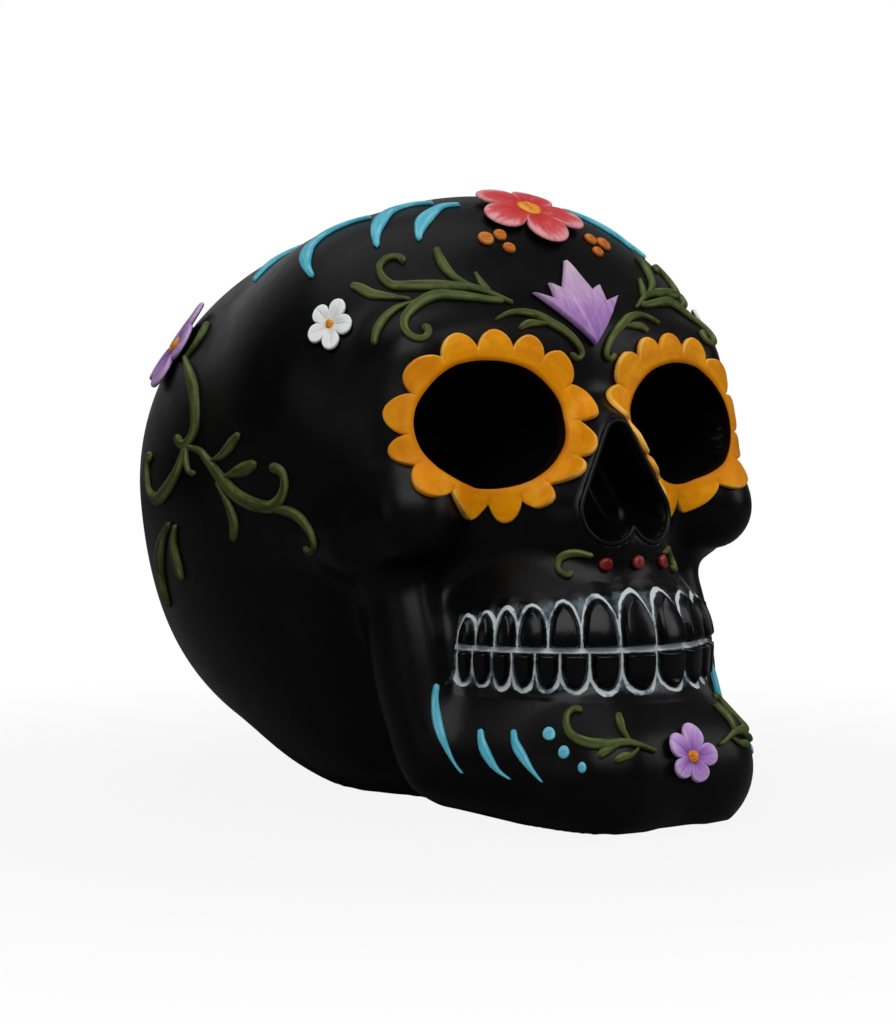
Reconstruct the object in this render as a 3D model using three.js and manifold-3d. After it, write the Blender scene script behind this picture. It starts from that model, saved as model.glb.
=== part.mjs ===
// A Day of the Dead skull ornament: a hollow cast head with raised decorations glued on to it.
// Millimetres, +Z up, the face towards -Y. Sizes are in the head's own frame, with its flat base at
// baseLevel, and the finished ornament is moved to stand on its felt pads at z = 0.
import * as THREE from 'three';
import { mergeVertices } from 'three/addons/utils/BufferGeometryUtils.js';
import Module from 'manifold-3d';

const wasm = await Module();
wasm.setup();

// Felt pads, base and wall of the casting
const padThickness = 1.3;
const padRadius = 4.5;
const jawPadPlace = { out: 11, back: -48 };
const rearPadPlace = { out: 11, back: 22 };
const baseLevel = 3.4;
const wall = 7;
const plugPlace = 2;
const plugRadius = 13;
const plugThickness = 3;
const plugClearance = 0.3;
const pourRadius = 10;

// Relief: every decoration lies this far off the skin, in its bed of glue
const glueGap = 0.3;
const vineHeight = 1.5;
const vineWidth = 3;
const wideVineWidth = 4;
const fineVineWidth = 2.4;
const strokeWidth = 3.2;
const strokeHeight = 1.1;
const dotHeight = 1.5;
const flowerHeight = 1.8;
const lotusHeight = 1.7;

// The head is a blend of round forms. Each is given on the positive X side and mirrored.
const ellipsoid = (centre, radii, blend, tilt = 0) => ({ kind: 'ellipsoid', centre, radii, blend, tilt });
const limb = (from, to, startRadius, endRadius, blend) =>
  ({ kind: 'limb', from, to, startRadius, endRadius, blend });

const braincase = ellipsoid([0, 20, 80], [68, 74, 66], 12);
const dome = ellipsoid([0, -12, 98.5], [67.5, 43.5, 53], 12);
const lowBack = ellipsoid([0, 24, 52.5], [57, 64, 47.5], 14);
const skullBase = ellipsoid([0, 6, 25], [44, 48, 27.5], 8);
const brow = limb([0, -46, 113.5], [42, -42, 112.5], 8, 6, 8);
const orbitRim = limb([44.5, -39.6, 107.5], [45.2, -43.6, 80], 5.5, 8, 8);
const temple = ellipsoid([38, -28, 87.5], [20, 22, 30], 9);
const cheekbone = limb([46, -46, 74.2], [50, -32, 70.5], 10.5, 8.5, 6);
const cheekArch = limb([50, -32, 70], [53, -14, 70], 8.5, 5, 7);
const mastoid = ellipsoid([45, -12, 53.5], [8, 8, 10], 6);
const midFace = ellipsoid([0, -43, 75.5], [28, 17, 20], 8);
const noseBase = ellipsoid([0, -46, 66], [21, 25.5, 20], 8);
const nasalBone = limb([0, -46, 103], [0, -58.5, 94.5], 5, 3.5, 4);
const mouthFloor = ellipsoid([0, -38, 21], [32, 44, 23], 8);
const chin = limb([0, -77, 16], [12, -76, 16], 14.5, 14.5, 7);
const jawBody = limb([12, -74, 14.3], [32.5, -48, 18.5], 14, 12.5, 8);
const ramus = ellipsoid([41.5, -38, 43], [7.5, 10.5, 32], 6, -16);

// The dental arch is half an ellipse seen from above. It narrows by the square of the rise from the bite.
const archCentre = -38;
const archHalfWidth = 38;
const archDepth = 42.7;
const archNarrowing = 0.00066;
const archInset = 0.04;
const biteHeight = 44;
const archTop = 66;
const archBottom = 24;
const archSoftness = 32;
const archBlend = 5;

// Openings of the face
const orbit = { centre: [28, -49, 94.3], radii: [19.2, 27, 14.8], tilt: -16 };
const noseLobe = { out: 6.2, height: 74.8, radius: 7 };
const noseTop = { height: 92.2, radius: 4 };
const noseBack = -53;
const noseReach = 40;

// The nose is a wedge round its opening: a front that leans forward downwards, and sides that flare backwards
const noseFront = { depth: -65.2, height: 96, slope: 0.139 };
const noseMargin = 1;
const noseFlare = 0.28;
const noseRound = 2;
const noseLength = 30;
const noseBlend = 5;

// Teeth, from the midline outwards: where each one ends along the arch, and how tall it is
const upperTeeth = { ends: [15, 29, 40.5, 51, 59, 66, 73], frontHeight: 12.8, rearHeight: 7.2 };
const lowerTeeth = { ends: [14.5, 26.3, 36.5, 45, 53, 60, 67.3, 72.8], frontHeight: 10.4, rearHeight: 8.8 };
const toothThickness = 2.4;
const toothFill = 0.56;

// The middle of the head, from which places on the skin are given: degrees out from the midline
// of the face and degrees up from the level
const middle = new THREE.Vector3(0, -6, 63);
const farReach = 165;

// Facets of the casting
const skinColumns = 76;
const skinRows = 46;
const frontCrowding = 0.35;
const middleCrowding = 0.38;
const crowdedLevel = -12;

const degrees = THREE.MathUtils.degToRad;
const { lerp, clamp, smoothstep } = THREE.MathUtils;

// Distances in the blended form

function smoothMin(a, b, blend) {
  const share = clamp(0.5 + 0.5 * (b - a) / blend, 0, 1);
  return lerp(b, a, share) - blend * share * (1 - share);
}

function smoothMax(a, b, blend) {
  return -smoothMin(-a, -b, blend);
}

function ellipsoidDistance(form, x, y, z) {
  const [cx, cy, cz] = form.centre;
  const [rx, ry, rz] = form.radii;
  const turn = degrees(form.tilt);
  const dy = y - cy;
  const dz = z - cz;
  const u = (x - cx) / rx;
  const v = (dy * Math.cos(turn) + dz * Math.sin(turn)) / ry;
  const w = (dz * Math.cos(turn) - dy * Math.sin(turn)) / rz;
  const near = Math.hypot(u, v, w);
  const slope = Math.hypot(u / rx, v / ry, w / rz) + 1e-9;
  return near * (near - 1) / slope;
}

function limbDistance(form, x, y, z) {
  const [ax, ay, az] = form.from;
  const [bx, by, bz] = form.to;
  const along = (x - ax) * (bx - ax) + (y - ay) * (by - ay) + (z - az) * (bz - az);
  const t = clamp(along / ((bx - ax) ** 2 + (by - ay) ** 2 + (bz - az) ** 2), 0, 1);
  const gap = Math.hypot(x - lerp(ax, bx, t), y - lerp(ay, by, t), z - lerp(az, bz, t));
  return gap - lerp(form.startRadius, form.endRadius, t);
}

const archScale = (z) => 1 - archInset - archNarrowing * Math.max(z - biteHeight, 0) ** 2;

function archDistance(x, y, z) {
  const reach = Math.hypot(x / archHalfWidth, (y - archCentre) / archDepth);
  const level = Math.abs(z - (archTop + archBottom) / 2) - (archTop - archBottom) / 2;
  return smoothMax((reach - archScale(z)) * archSoftness, level, archBlend);
}

// The nose opening is an upside-down heart: a round lobe and a smaller top circle wrapped by their tangents
function noseOutline(x, z) {
  const rise = noseTop.height - noseLobe.height;
  const span = Math.hypot(noseLobe.out, rise);
  const across = x - noseLobe.out;
  const up = z - noseLobe.height;
  const along = (rise * up - noseLobe.out * across) / span;
  const beside = Math.abs(rise * across + noseLobe.out * up) / span;
  const taper = (noseLobe.radius - noseTop.radius) / span;
  const level = Math.sqrt(1 - taper * taper);
  const where = level * along - taper * beside;
  if (where < 0) return Math.hypot(along, beside) - noseLobe.radius;
  if (where > level * span) return Math.hypot(along - span, beside) - noseTop.radius;
  return level * beside + taper * along - noseLobe.radius;
}

function noseDistance(x, y, z) {
  const behind = y - noseFront.depth - (z - noseFront.height) * noseFront.slope;
  const side = (noseOutline(x, z) - noseMargin - noseFlare * behind) / Math.hypot(1, noseFlare);
  return Math.max(smoothMax(side, -behind, noseRound), behind - noseLength);
}

const headForms = [braincase, dome, lowBack, skullBase, brow, orbitRim, temple, cheekbone, cheekArch,
  mastoid, midFace, noseBase, nasalBone];
const jawForms = [mouthFloor, chin, jawBody, ramus];

function headDistance(px, y, z) {
  const x = Math.abs(px);
  const distance = (form) => (form.kind === 'limb' ? limbDistance : ellipsoidDistance)(form, x, y, z);
  let nearest = 1000;
  for (const form of headForms) nearest = smoothMin(nearest, distance(form), form.blend);
  nearest = smoothMin(nearest, noseDistance(x, y, z), noseBlend);
  nearest = smoothMin(nearest, archDistance(x, y, z), archBlend);
  for (const form of jawForms) nearest = smoothMin(nearest, distance(form), form.blend);
  return nearest;
}

// Carries a point outside the head along a heading until it meets the skin, by a share of the distance left
const march = { steps: 140, share: 0.6, close: 1e-4 };

function marched(start, heading) {
  const at = start.clone();
  for (let step = 0; step < march.steps; step += 1) {
    const gap = headDistance(at.x, at.y, at.z);
    if (Math.abs(gap) < march.close) break;
    at.addScaledVector(heading, march.share * gap);
  }
  return at;
}

// Where the ray from the middle in this direction leaves the head
function skinPoint(direction) {
  const ray = direction.clone().normalize();
  return marched(ray.clone().multiplyScalar(farReach).add(middle), ray.negate());
}

function skinNormal(at) {
  const probe = 0.4;
  const slope = (dx, dy, dz) =>
    headDistance(at.x + dx, at.y + dy, at.z + dz) - headDistance(at.x - dx, at.y - dy, at.z - dz);
  return new THREE.Vector3(slope(probe, 0, 0), slope(0, probe, 0), slope(0, 0, probe)).normalize();
}

// A direction from the middle, side being -1 for the skull's right and 1 for its left
function direction(out, up, side = 1) {
  const level = Math.cos(degrees(up));
  return new THREE.Vector3(
    side * Math.sin(degrees(out)) * level,
    -Math.cos(degrees(out)) * level,
    Math.sin(degrees(up)),
  );
}

const onSkin = ([out, up], side) => skinPoint(direction(out, up, side));

// A point near the skin, laid on the skin and lifted off it
function lifted(near, height) {
  const foot = skinPoint(near.clone().sub(middle));
  return foot.clone().addScaledVector(skinNormal(foot), height);
}

// Solids from corners and triangles, turned to face outwards
function closedGeometry(corners, triangles) {
  let volume = 0;
  for (const [a, b, c] of triangles) {
    volume += corners[a].dot(corners[b].clone().cross(corners[c]));
  }
  const outward = volume < 0 ? triangles.map(([a, b, c]) => [a, c, b]) : triangles;
  const geometry = new THREE.BufferGeometry().setFromPoints(corners);
  geometry.setIndex(outward.flat());
  return geometry;
}

// Rings of corners joined one to the next, with the first and last ring closed over
function loft(rings) {
  const count = rings[0].length;
  const corners = rings.flat();
  const triangles = [];
  for (let ring = 0; ring + 1 < rings.length; ring += 1) {
    for (let i = 0; i < count; i += 1) {
      const a = ring * count + i;
      const b = ring * count + (i + 1) % count;
      triangles.push([a, b, b + count], [a, b + count, a + count]);
    }
  }
  const last = (rings.length - 1) * count;
  for (let i = 1; i + 1 < count; i += 1) {
    triangles.push([0, i + 1, i], [last, last + i, last + i + 1]);
  }
  return closedGeometry(corners, triangles);
}

// Rings round a middle point, from the underside out to the edge and back in over the top
function button(rings, underside, crown) {
  const count = rings[0].length;
  const corners = [...rings.flat(), underside, crown];
  const triangles = [];
  const foot = rings.length * count;
  const last = (rings.length - 1) * count;
  for (let i = 0; i < count; i += 1) {
    const next = (i + 1) % count;
    triangles.push([foot, next, i], [foot + 1, last + i, last + next]);
    for (let start = 0; start < last; start += count) {
      triangles.push([start + i, start + next, start + count + next]);
      triangles.push([start + i, start + count + next, start + count + i]);
    }
  }
  return closedGeometry(corners, triangles);
}

// Rings round a hole: each section runs over the ring from its inner edge and back underneath
function hoop(sections) {
  const count = sections[0].length;
  const triangles = [];
  for (let s = 0; s < sections.length; s += 1) {
    for (let i = 0; i < count; i += 1) {
      const a = s * count + i;
      const b = s * count + (i + 1) % count;
      const shift = ((s + 1) % sections.length - s) * count;
      triangles.push([a, b, b + shift], [a, b + shift, a + shift]);
    }
  }
  return closedGeometry(sections.flat(), triangles);
}

function toManifold(geometry, matrix = new THREE.Matrix4()) {
  const plain = geometry.clone().applyMatrix4(matrix);
  plain.deleteAttribute('normal');
  plain.deleteAttribute('uv');
  const merged = mergeVertices(plain, 1e-5);
  return new wasm.Manifold(new wasm.Mesh({
    numProp: 3,
    vertProperties: new Float32Array(merged.attributes.position.array),
    triVerts: new Uint32Array(merged.index.array),
  }));
}

function fromManifold(solid) {
  const mesh = solid.getMesh();
  const geometry = new THREE.BufferGeometry();
  geometry.setAttribute('position', new THREE.BufferAttribute(new Float32Array(mesh.vertProperties), 3));
  geometry.setIndex(new THREE.BufferAttribute(new Uint32Array(mesh.triVerts), 1));
  return geometry;
}

const placed = (x, y, z) => new THREE.Matrix4().makeTranslation(x, y, z);
const upright = new THREE.Matrix4().makeRotationX(Math.PI / 2);

// The casting: skin, teeth, eye sockets, nose opening, hollow, flat base and plug seat

function skinSolid(lift) {
  const corner = (out, up) => lifted(direction(out, up).add(middle), lift);
  const rings = [];
  for (let row = 1; row < skinRows; row += 1) {
    const climb = 2 * row / skinRows - 1;
    const even = 90 * climb * (1 - middleCrowding + middleCrowding * climb * climb);
    const up = even + crowdedLevel * (1 - climb * climb);
    const ring = [];
    for (let column = 0; column < skinColumns; column += 1) {
      const round = 2 * column / skinColumns - 1;
      const out = 180 * round * (1 - frontCrowding + frontCrowding * round * round);
      ring.push(corner(out, up));
    }
    rings.push(ring);
  }
  return toManifold(button(rings, corner(0, -90), corner(0, 90)));
}

function toothSolids(row, upwards) {
  const solids = [];
  const facets = new THREE.SphereGeometry(1, 7, 5);
  row.ends.forEach((end, index) => {
    const start = index ? row.ends[index - 1] : 0;
    const turn = degrees((start + end) / 2);
    const tall = lerp(row.frontHeight, row.rearHeight, index / (row.ends.length - 1));
    const height = biteHeight + (upwards ? tall : -tall) / 2;
    const along = new THREE.Vector2(archHalfWidth * Math.cos(turn), archDepth * Math.sin(turn));
    const wide = along.length() * degrees(end - start);
    const lean = upwards ? archNarrowing * archDepth * tall : 0;
    for (const side of [-1, 1]) {
      const across = new THREE.Vector3(-along.x, -side * along.y, 0).setLength(wide * toothFill);
      const outwards = new THREE.Vector3(side * along.y, -along.x, 0).normalize();
      const rise = new THREE.Vector3(0, 0, 1).addScaledVector(outwards, -lean).setLength(tall * toothFill);
      const matrix = new THREE.Matrix4().makeBasis(across, outwards.multiplyScalar(toothThickness), rise);
      matrix.setPosition(
        side * archHalfWidth * archScale(height) * Math.sin(turn),
        archCentre - archDepth * archScale(height) * Math.cos(turn),
        height,
      );
      solids.push(toManifold(facets, matrix));
    }
  });
  return solids;
}

function socketSolid(side) {
  const [x, y, z] = orbit.centre;
  const matrix = placed(side * x, y, z)
    .multiply(new THREE.Matrix4().makeRotationX(degrees(orbit.tilt)))
    .multiply(new THREE.Matrix4().makeScale(...orbit.radii));
  return toManifold(new THREE.SphereGeometry(1, 24, 10).rotateX(Math.PI / 2), matrix);
}

// The heart of the nose opening, as a prism
function noseSolid() {
  const rise = noseTop.height - noseLobe.height;
  const span = Math.hypot(rise, noseLobe.out);
  const flank = Math.atan2(rise, -noseLobe.out) - Math.acos((noseLobe.radius - noseTop.radius) / span);
  const notch = Math.PI + Math.acos(noseLobe.out / noseLobe.radius);
  const heart = new THREE.Shape();
  heart.absarc(noseLobe.out, noseLobe.height, noseLobe.radius, notch, 2 * Math.PI + flank, false);
  heart.absarc(0, noseTop.height, noseTop.radius, flank, Math.PI - flank, false);
  heart.absarc(-noseLobe.out, noseLobe.height, noseLobe.radius, Math.PI - flank, 3 * Math.PI - notch, false);
  const prism = new THREE.ExtrudeGeometry(heart, { depth: noseReach, bevelEnabled: false, curveSegments: 6 });
  return toManifold(prism, placed(0, noseBack, 0).multiply(upright));
}

// The hollow leaves one wall round the braincase and stays a wall clear of the eye sockets
function hollowSolid() {
  const [, orbitY] = orbit.centre;
  const front = orbitY + orbit.radii[1] + wall;
  const back = braincase.centre[1] + braincase.radii[1] - wall;
  const centreY = (front + back) / 2;
  const shrink = Math.sqrt(1 - ((centreY - braincase.centre[1]) / braincase.radii[1]) ** 2);
  const upper = placed(0, centreY, braincase.centre[2]).multiply(new THREE.Matrix4().makeScale(
    braincase.radii[0] * shrink - wall,
    (back - front) / 2,
    braincase.radii[2] * shrink - wall,
  ));
  const lower = placed(...lowBack.centre).multiply(new THREE.Matrix4().makeScale(
    lowBack.radii[0] - wall,
    lowBack.radii[1] - wall,
    lowBack.radii[2] - wall,
  ));
  const ball = new THREE.SphereGeometry(1, 16, 10);
  return toManifold(ball, upper).add(toManifold(ball, lower));
}

const disc = (radius, thickness, sides) =>
  new THREE.CylinderGeometry(radius, radius, thickness, sides).rotateX(Math.PI / 2);

function castingGeometry() {
  const ground = new THREE.BoxGeometry(2 * farReach, 2 * farReach, farReach);
  const neck = lowBack.centre[2] - baseLevel;
  const seat = plugThickness + plugClearance;
  let head = skinSolid(0);
  for (const tooth of toothSolids(upperTeeth, true)) head = head.add(tooth);
  for (const tooth of toothSolids(lowerTeeth, false)) head = head.add(tooth);
  for (const side of [-1, 1]) head = head.subtract(socketSolid(side));
  head = head.subtract(noseSolid());
  head = head.subtract(hollowSolid());
  head = head.subtract(toManifold(disc(pourRadius, neck, 24), placed(0, plugPlace, baseLevel + neck / 2)));
  head = head.subtract(toManifold(
    disc(plugRadius + plugClearance, 2 * seat, 32),
    placed(0, plugPlace, baseLevel),
  ));
  head = head.subtract(toManifold(ground, placed(0, 0, baseLevel - farReach / 2)));
  return fromManifold(head);
}

// Raised decorations are cut to the skin underneath, a glue gap off it
const bed = skinSolid(glueGap);
const bedDepth = 0.8;
const seated = (solid) => fromManifold(solid.subtract(bed));

// The top of a stroke is narrower than its foot, and lower where the stroke is thin
const strokeTop = 0.55;
const thinRise = 0.6;
const shootStep = 0.07;
const stepsPerPoint = 1.8;

// Width along a stroke of the brush: from a start share up to full width and down to an end share
const shapes = {
  stem: { start: 0.7, peak: 0.3, end: 0.55 },
  curl: { start: 0.8, peak: 0.2, end: 0.75 },
  leaf: { start: 0.35, peak: 0.6, end: 0.16 },
  brush: { start: 0.35, peak: 0.4, end: 0.2 },
};

function stroke(points, side, width, height, shape) {
  const curve = new THREE.CatmullRomCurve3(points.map((point) => onSkin(point, side)));
  const steps = Math.round(stepsPerPoint * points.length);
  const rings = [];
  for (let step = 0; step <= steps; step += 1) {
    const t = step / steps;
    const { start, peak, end } = shapes[shape];
    const share = t < peak ? lerp(start, 1, smoothstep(t, 0, peak)) : lerp(1, end, smoothstep(t, peak, 1));
    const foot = skinPoint(curve.getPointAt(t).sub(middle));
    const normal = skinNormal(foot);
    const half = curve.getTangentAt(t).cross(normal).normalize().multiplyScalar(width * share / 2);
    const rise = glueGap + height * lerp(thinRise, 1, share);
    const corner = (across, lift) => foot.clone().addScaledVector(half, across).addScaledVector(normal, lift);
    rings.push([
      corner(-1, -bedDepth),
      corner(1, -bedDepth),
      corner(strokeTop, rise),
      corner(-strokeTop, rise),
    ]);
  }
  return toManifold(loft(rings));
}

// A vine is a stem with its curls and leaves grown together, each shoot a step lower than the one before
function vine(parts, side, width) {
  const grown = parts.map(({ shape, points, scale = 1 }, index) =>
    stroke(points, side, width * scale, vineHeight - shootStep * index, shape));
  return seated(grown.reduce((whole, next) => whole.add(next)));
}

function tangentFrame(at) {
  const normal = skinNormal(at);
  const east = new THREE.Vector3(-at.y + middle.y, at.x, 0).normalize();
  east.addScaledVector(normal, -east.dot(normal)).normalize();
  return { normal, east, north: normal.clone().cross(east) };
}

const roundSides = 10;

// A ring of points about a place on the skin, each laid on the skin and lifted off it
function skinRing(at, reaches, lift, side = 1) {
  const { east, north } = tangentFrame(at);
  return reaches.map(({ round, reach }) => {
    const near = at.clone().addScaledVector(east, side * reach * Math.cos(round));
    return lifted(near.addScaledVector(north, reach * Math.sin(round)), lift);
  });
}

const circle = (radius) => Array.from({ length: roundSides }, (unused, i) =>
  ({ round: 2 * Math.PI * i / roundSides, reach: radius }));

// A dome of paint or resin, round in plan, with rings at these degrees up it
function domeGeometry(at, radius, height, lift, climbs) {
  const rings = climbs.map((climb) => {
    const turn = degrees(climb);
    return skinRing(at, circle(radius * Math.cos(turn)), lift + height * Math.sin(turn));
  });
  return button(rings, lifted(at, lift), lifted(at, lift + height));
}

const dot = (at, radius) => domeGeometry(at, radius, dotHeight, glueGap, [0, 30, 60]);

// Five round petals about a dished middle, on which the separate eye of the flower sits.
// Shares of the radius: the valleys between petals, the foot under the rim, and the crest of a petal.
// Shares of the height: the rim, the dish, and the eye's own height.
const petals = { count: 5, steps: 6, valley: 0.5, underside: 0.45, foot: 0.94, crest: 0.72 };
const petalRise = { rim: 0.7, dish: 0.6, eye: 0.5 };

function flower({ place, radius, turn, eye, height }, side) {
  const at = onSkin(place, side);
  const points = petals.count * petals.steps;
  const outline = (share) => Array.from({ length: points }, (unused, i) => {
    const round = 2 * Math.PI * i / points;
    const lobe = Math.sqrt(Math.abs(Math.cos(petals.count * round / 2)));
    return { round: round + degrees(turn), reach: share * radius * lerp(petals.valley, 1, lobe) };
  });
  const rings = [
    skinRing(at, outline(petals.underside), glueGap, side),
    skinRing(at, outline(petals.foot), glueGap, side),
    skinRing(at, outline(1), glueGap + petalRise.rim * height, side),
    skinRing(at, outline(petals.crest), glueGap + height, side),
  ];
  const dish = glueGap + petalRise.dish * height;
  const petalsGeometry = button(rings, lifted(at, glueGap), lifted(at, dish));
  const crestReach = petals.crest * petals.valley * radius;
  const seat = dish + glueGap + Math.min(1, eye / crestReach) * (1 - petalRise.dish) * height;
  const eyeGeometry = domeGeometry(at, eye, petalRise.eye * height, seat, [0, 45]);
  return { petalsGeometry, eyeGeometry };
}

// The lotus is one flat relief: three pointed petals and two side petals on a narrow foot
const lotusHalf = [[4.5, 48.3], [10.5, 51.5], [17, 54.8], [11, 54.6], [10.3, 57], [5, 56.8]];
const lotusFoot = [0, 45.5];
const lotusTip = [0, 61.5];
const lotusMiddle = [0, 53];

function lotusGeometry() {
  const mirrored = lotusHalf.map(([out, up]) => [-out, up]).reverse();
  const outline = [lotusFoot, ...lotusHalf, lotusTip, ...mirrored].map((point) => onSkin(point, 1));
  const centre = onSkin(lotusMiddle, 1);
  const ring = (share, lift) => outline.map((corner) => lifted(centre.clone().lerp(corner, share), lift));
  const underside = [0.33, 0.66, 1].map((share) => ring(share, glueGap));
  const rings = [...underside, ring(0.97, glueGap + 0.7 * lotusHeight), ring(0.6, glueGap + lotusHeight)];
  return button(rings, lifted(centre, glueGap), lifted(centre, glueGap + lotusHeight));
}

// The eye ring: a band round the socket with petals outside it. By degrees round the socket from the
// temple side: how far its inner edge, its petals' tips and the notches after them lie outside the socket
const ringEdge = [[0, 0.6], [36, 0.8], [66, 1.8], [117, 1.3], [141, 0.3], [171, -0.7], [211, -1],
  [241, -0.3], [292, -0.4], [322, 0.7]];
const ringTips = [[11, 6], [47, 7.6], [73, 8.7], [94, 8.8], [113, 9.4], [131, 9.6], [160, 7.8],
  [189, 3.2], [219, 2.9], [248, 6], [262, 8.2], [281, 7.3], [321, 8.7], [341, 6.6]];
const ringNotches = [[28, 2.7], [60, 4.5], [83, 4], [104, 4.6], [123, 5.4], [148, 5.2], [175, 2.4],
  [206, 1.3], [235, 2], [253, 3.6], [271, 3.3], [305, 3.5], [332, 4.2], [355, 2.5]];
const ring = { lip: 0.7, height: 1.8, edgeHeight: 1.1, crest: 0.45, petalPoint: 0.8, stepsPerPetal: 4 };

// The value at an angle between the entries of a table that runs once round
function roundTable(table, turn) {
  const [first, last] = [table[0], table[table.length - 1]];
  const whole = [[last[0] - 360, last[1]], ...table, [first[0] + 360, first[1]]];
  const next = whole.findIndex(([angle]) => angle > turn);
  const [[start, low], [end, high]] = whole.slice(next - 1, next + 1);
  return lerp(low, high, (turn - start) / (end - start));
}

function eyeRingGeometry(side) {
  const [x, y, z] = orbit.centre;
  const tilt = degrees(orbit.tilt);
  const rise = new THREE.Vector3(0, -Math.sin(tilt), Math.cos(tilt));
  const front = new THREE.Vector3(side * x, y, z);
  const sections = [];
  ringTips.forEach(([tipTurn, tipReach], petal) => {
    const before = petal ? ringNotches[petal - 1] : ringNotches[ringNotches.length - 1];
    const after = ringNotches[petal];
    const beforeTurn = petal ? before[0] : before[0] - 360;
    for (let step = 0; step < ring.stepsPerPetal; step += 1) {
      const share = step / ring.stepsPerPetal;
      const rising = share < 0.5;
      const turn = rising ? lerp(beforeTurn, tipTurn, 2 * share) : lerp(tipTurn, after[0], 2 * share - 1);
      const scallop = Math.sin(Math.PI * share) ** ring.petalPoint;
      const outer = lerp(lerp(before[1], after[1], share), tipReach, scallop);
      const inner = roundTable(ringEdge, turn);
      const at = (beyond, lift) => {
        const near = front.clone();
        near.x += side * (orbit.radii[0] + beyond) * Math.cos(degrees(turn));
        near.addScaledVector(rise, (orbit.radii[2] + beyond) * Math.sin(degrees(turn)));
        near.y = -farReach;
        return faceLifted(near, lift);
      };
      sections.push([
        at(inner, -ring.height),
        at(inner, glueGap + ring.edgeHeight),
        at(lerp(inner, outer, ring.crest), glueGap + ring.height),
        at(outer, glueGap + ring.edgeHeight),
        at(outer - ring.lip, -ring.height),
      ]);
    }
  });
  const otherSide = toManifold(
    new THREE.BoxGeometry(farReach, 2 * farReach, 2 * farReach),
    placed(-side * (farReach - glueGap) / 2, 0, 0),
  );
  return seated(toManifold(hoop(sections)).subtract(otherSide));
}

// A point in front of the face, carried straight back on to the skin and lifted off it
function faceLifted(near, height) {
  const foot = marched(near, new THREE.Vector3(0, 1, 0));
  return foot.clone().addScaledVector(skinNormal(foot), height);
}

// Finishes
const finish = (color, roughness) => new THREE.MeshStandardMaterial({ color, roughness, metalness: 0 });
const blackResin = finish(0x0c0c0d, 0.38);
const yellowPaint = finish(0xf2a516, 0.5);
const olivePaint = finish(0x6b7338, 0.55);
const turquoisePaint = finish(0x45b4cf, 0.5);
const redPaint = finish(0xd9484f, 0.5);
const orangePaint = finish(0xd0701d, 0.5);
const violetPaint = finish(0xb287cc, 0.5);
const whitePaint = finish(0xeeeeee, 0.5);
const lipPaint = finish(0xb62a24, 0.45);
const blackRubber = finish(0x1a1a1a, 0.8);
const grayFelt = finish(0x2b2b2b, 0.95);

const skull = new THREE.Group();

function addPiece(name, geometry, material) {
  geometry.computeVertexNormals();
  const piece = new THREE.Mesh(geometry, material);
  piece.name = name;
  skull.add(piece);
  return piece;
}

addPiece('skull_casting', castingGeometry(), blackResin);

const plug = addPiece('base_plug', disc(plugRadius, plugThickness, 32), blackRubber);
plug.position.set(0, plugPlace, baseLevel + plugThickness / 2);

const sides = { right: -1, left: 1 };

for (const [sideName, side] of Object.entries(sides)) {
  for (const [padName, place] of Object.entries({ jaw: jawPadPlace, rear: rearPadPlace })) {
    const thickness = padThickness - glueGap;
    const pad = addPiece(`felt_pad_${padName}_${sideName}`, disc(padRadius, thickness, 20), grayFelt);
    pad.position.set(side * place.out, place.back, baseLevel - padThickness + thickness / 2);
  }
}

// Decorations on the midline
const crownFlower = { place: [0, 73.6], radius: 15, turn: -90, eye: 3.2, height: 2.6 };
const chinFlower = { place: [0, -26], radius: 6.2, turn: 0, eye: 1.4, height: flowerHeight };

function addFlower(name, spec, side, material) {
  const { petalsGeometry, eyeGeometry } = flower(spec, side);
  addPiece(name, petalsGeometry, material);
  addPiece(`${name}_eye`, eyeGeometry, orangePaint);
}

addFlower('crown_flower', crownFlower, 1, redPaint);
addFlower('chin_flower', chinFlower, 1, violetPaint);
addPiece('forehead_lotus', lotusGeometry(), violetPaint);

const lipDotRadius = 1.8;
const lipDots = { middle: [0, 0.4], right: [7.3, 0], left: [-7.3, 0] };
for (const [name, place] of Object.entries(lipDots)) {
  addPiece(`lip_dot_${name}`, dot(onSkin(place, -1), lipDotRadius), lipPaint);
}

// Decorations that come in pairs, as places on the skin
const whiteFlower = { place: [67.3, 42.4], radius: 6.4, turn: 90, eye: 1.5, height: flowerHeight };
const backFlower = { place: [133, 35.2], radius: 10, turn: 90, eye: 2.2, height: flowerHeight };

// The crown dots lie round the crown flower: degrees from straight forward, and shares of its radius
const crownDots = {
  outer: { bearing: 61.5, reach: 1.38, radius: 2.1 },
  inner: { bearing: 56, reach: 1.13, radius: 1.8 },
  low: { bearing: 44.5, reach: 1.29, radius: 1.7 },
};

function crownDotPlace({ bearing, reach }, side) {
  const at = onSkin(crownFlower.place, 1);
  const { east, north } = tangentFrame(at);
  at.addScaledVector(east, side * crownFlower.radius * reach * Math.sin(degrees(bearing)));
  at.addScaledVector(north, -crownFlower.radius * reach * Math.cos(degrees(bearing)));
  return skinPoint(at.sub(middle));
}

const crownStrokes = [
  [[42.3, 74.4], [53.7, 67.5], [54.8, 63.6], [52.7, 61.1]],
  [[58.2, 74.3], [70.5, 66.8], [68.1, 61.6], [63.8, 58]],
  [[99, 69], [105, 62.5], [91.5, 56.5], [77.4, 50.2]],
  [[132, 62], [126, 56.5], [118, 51.5]],
];

const jawStrokes = [
  [[42.6, -23.5], [43.3, -26], [41.5, -30.7], [37.2, -34.8]],
  [[33.9, -28.9], [33.6, -30.7], [31.5, -32.7], [28.7, -33.6]],
  [[27.9, -27.7], [27.5, -29.3], [25.8, -31.3], [23.6, -32]],
];

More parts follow.
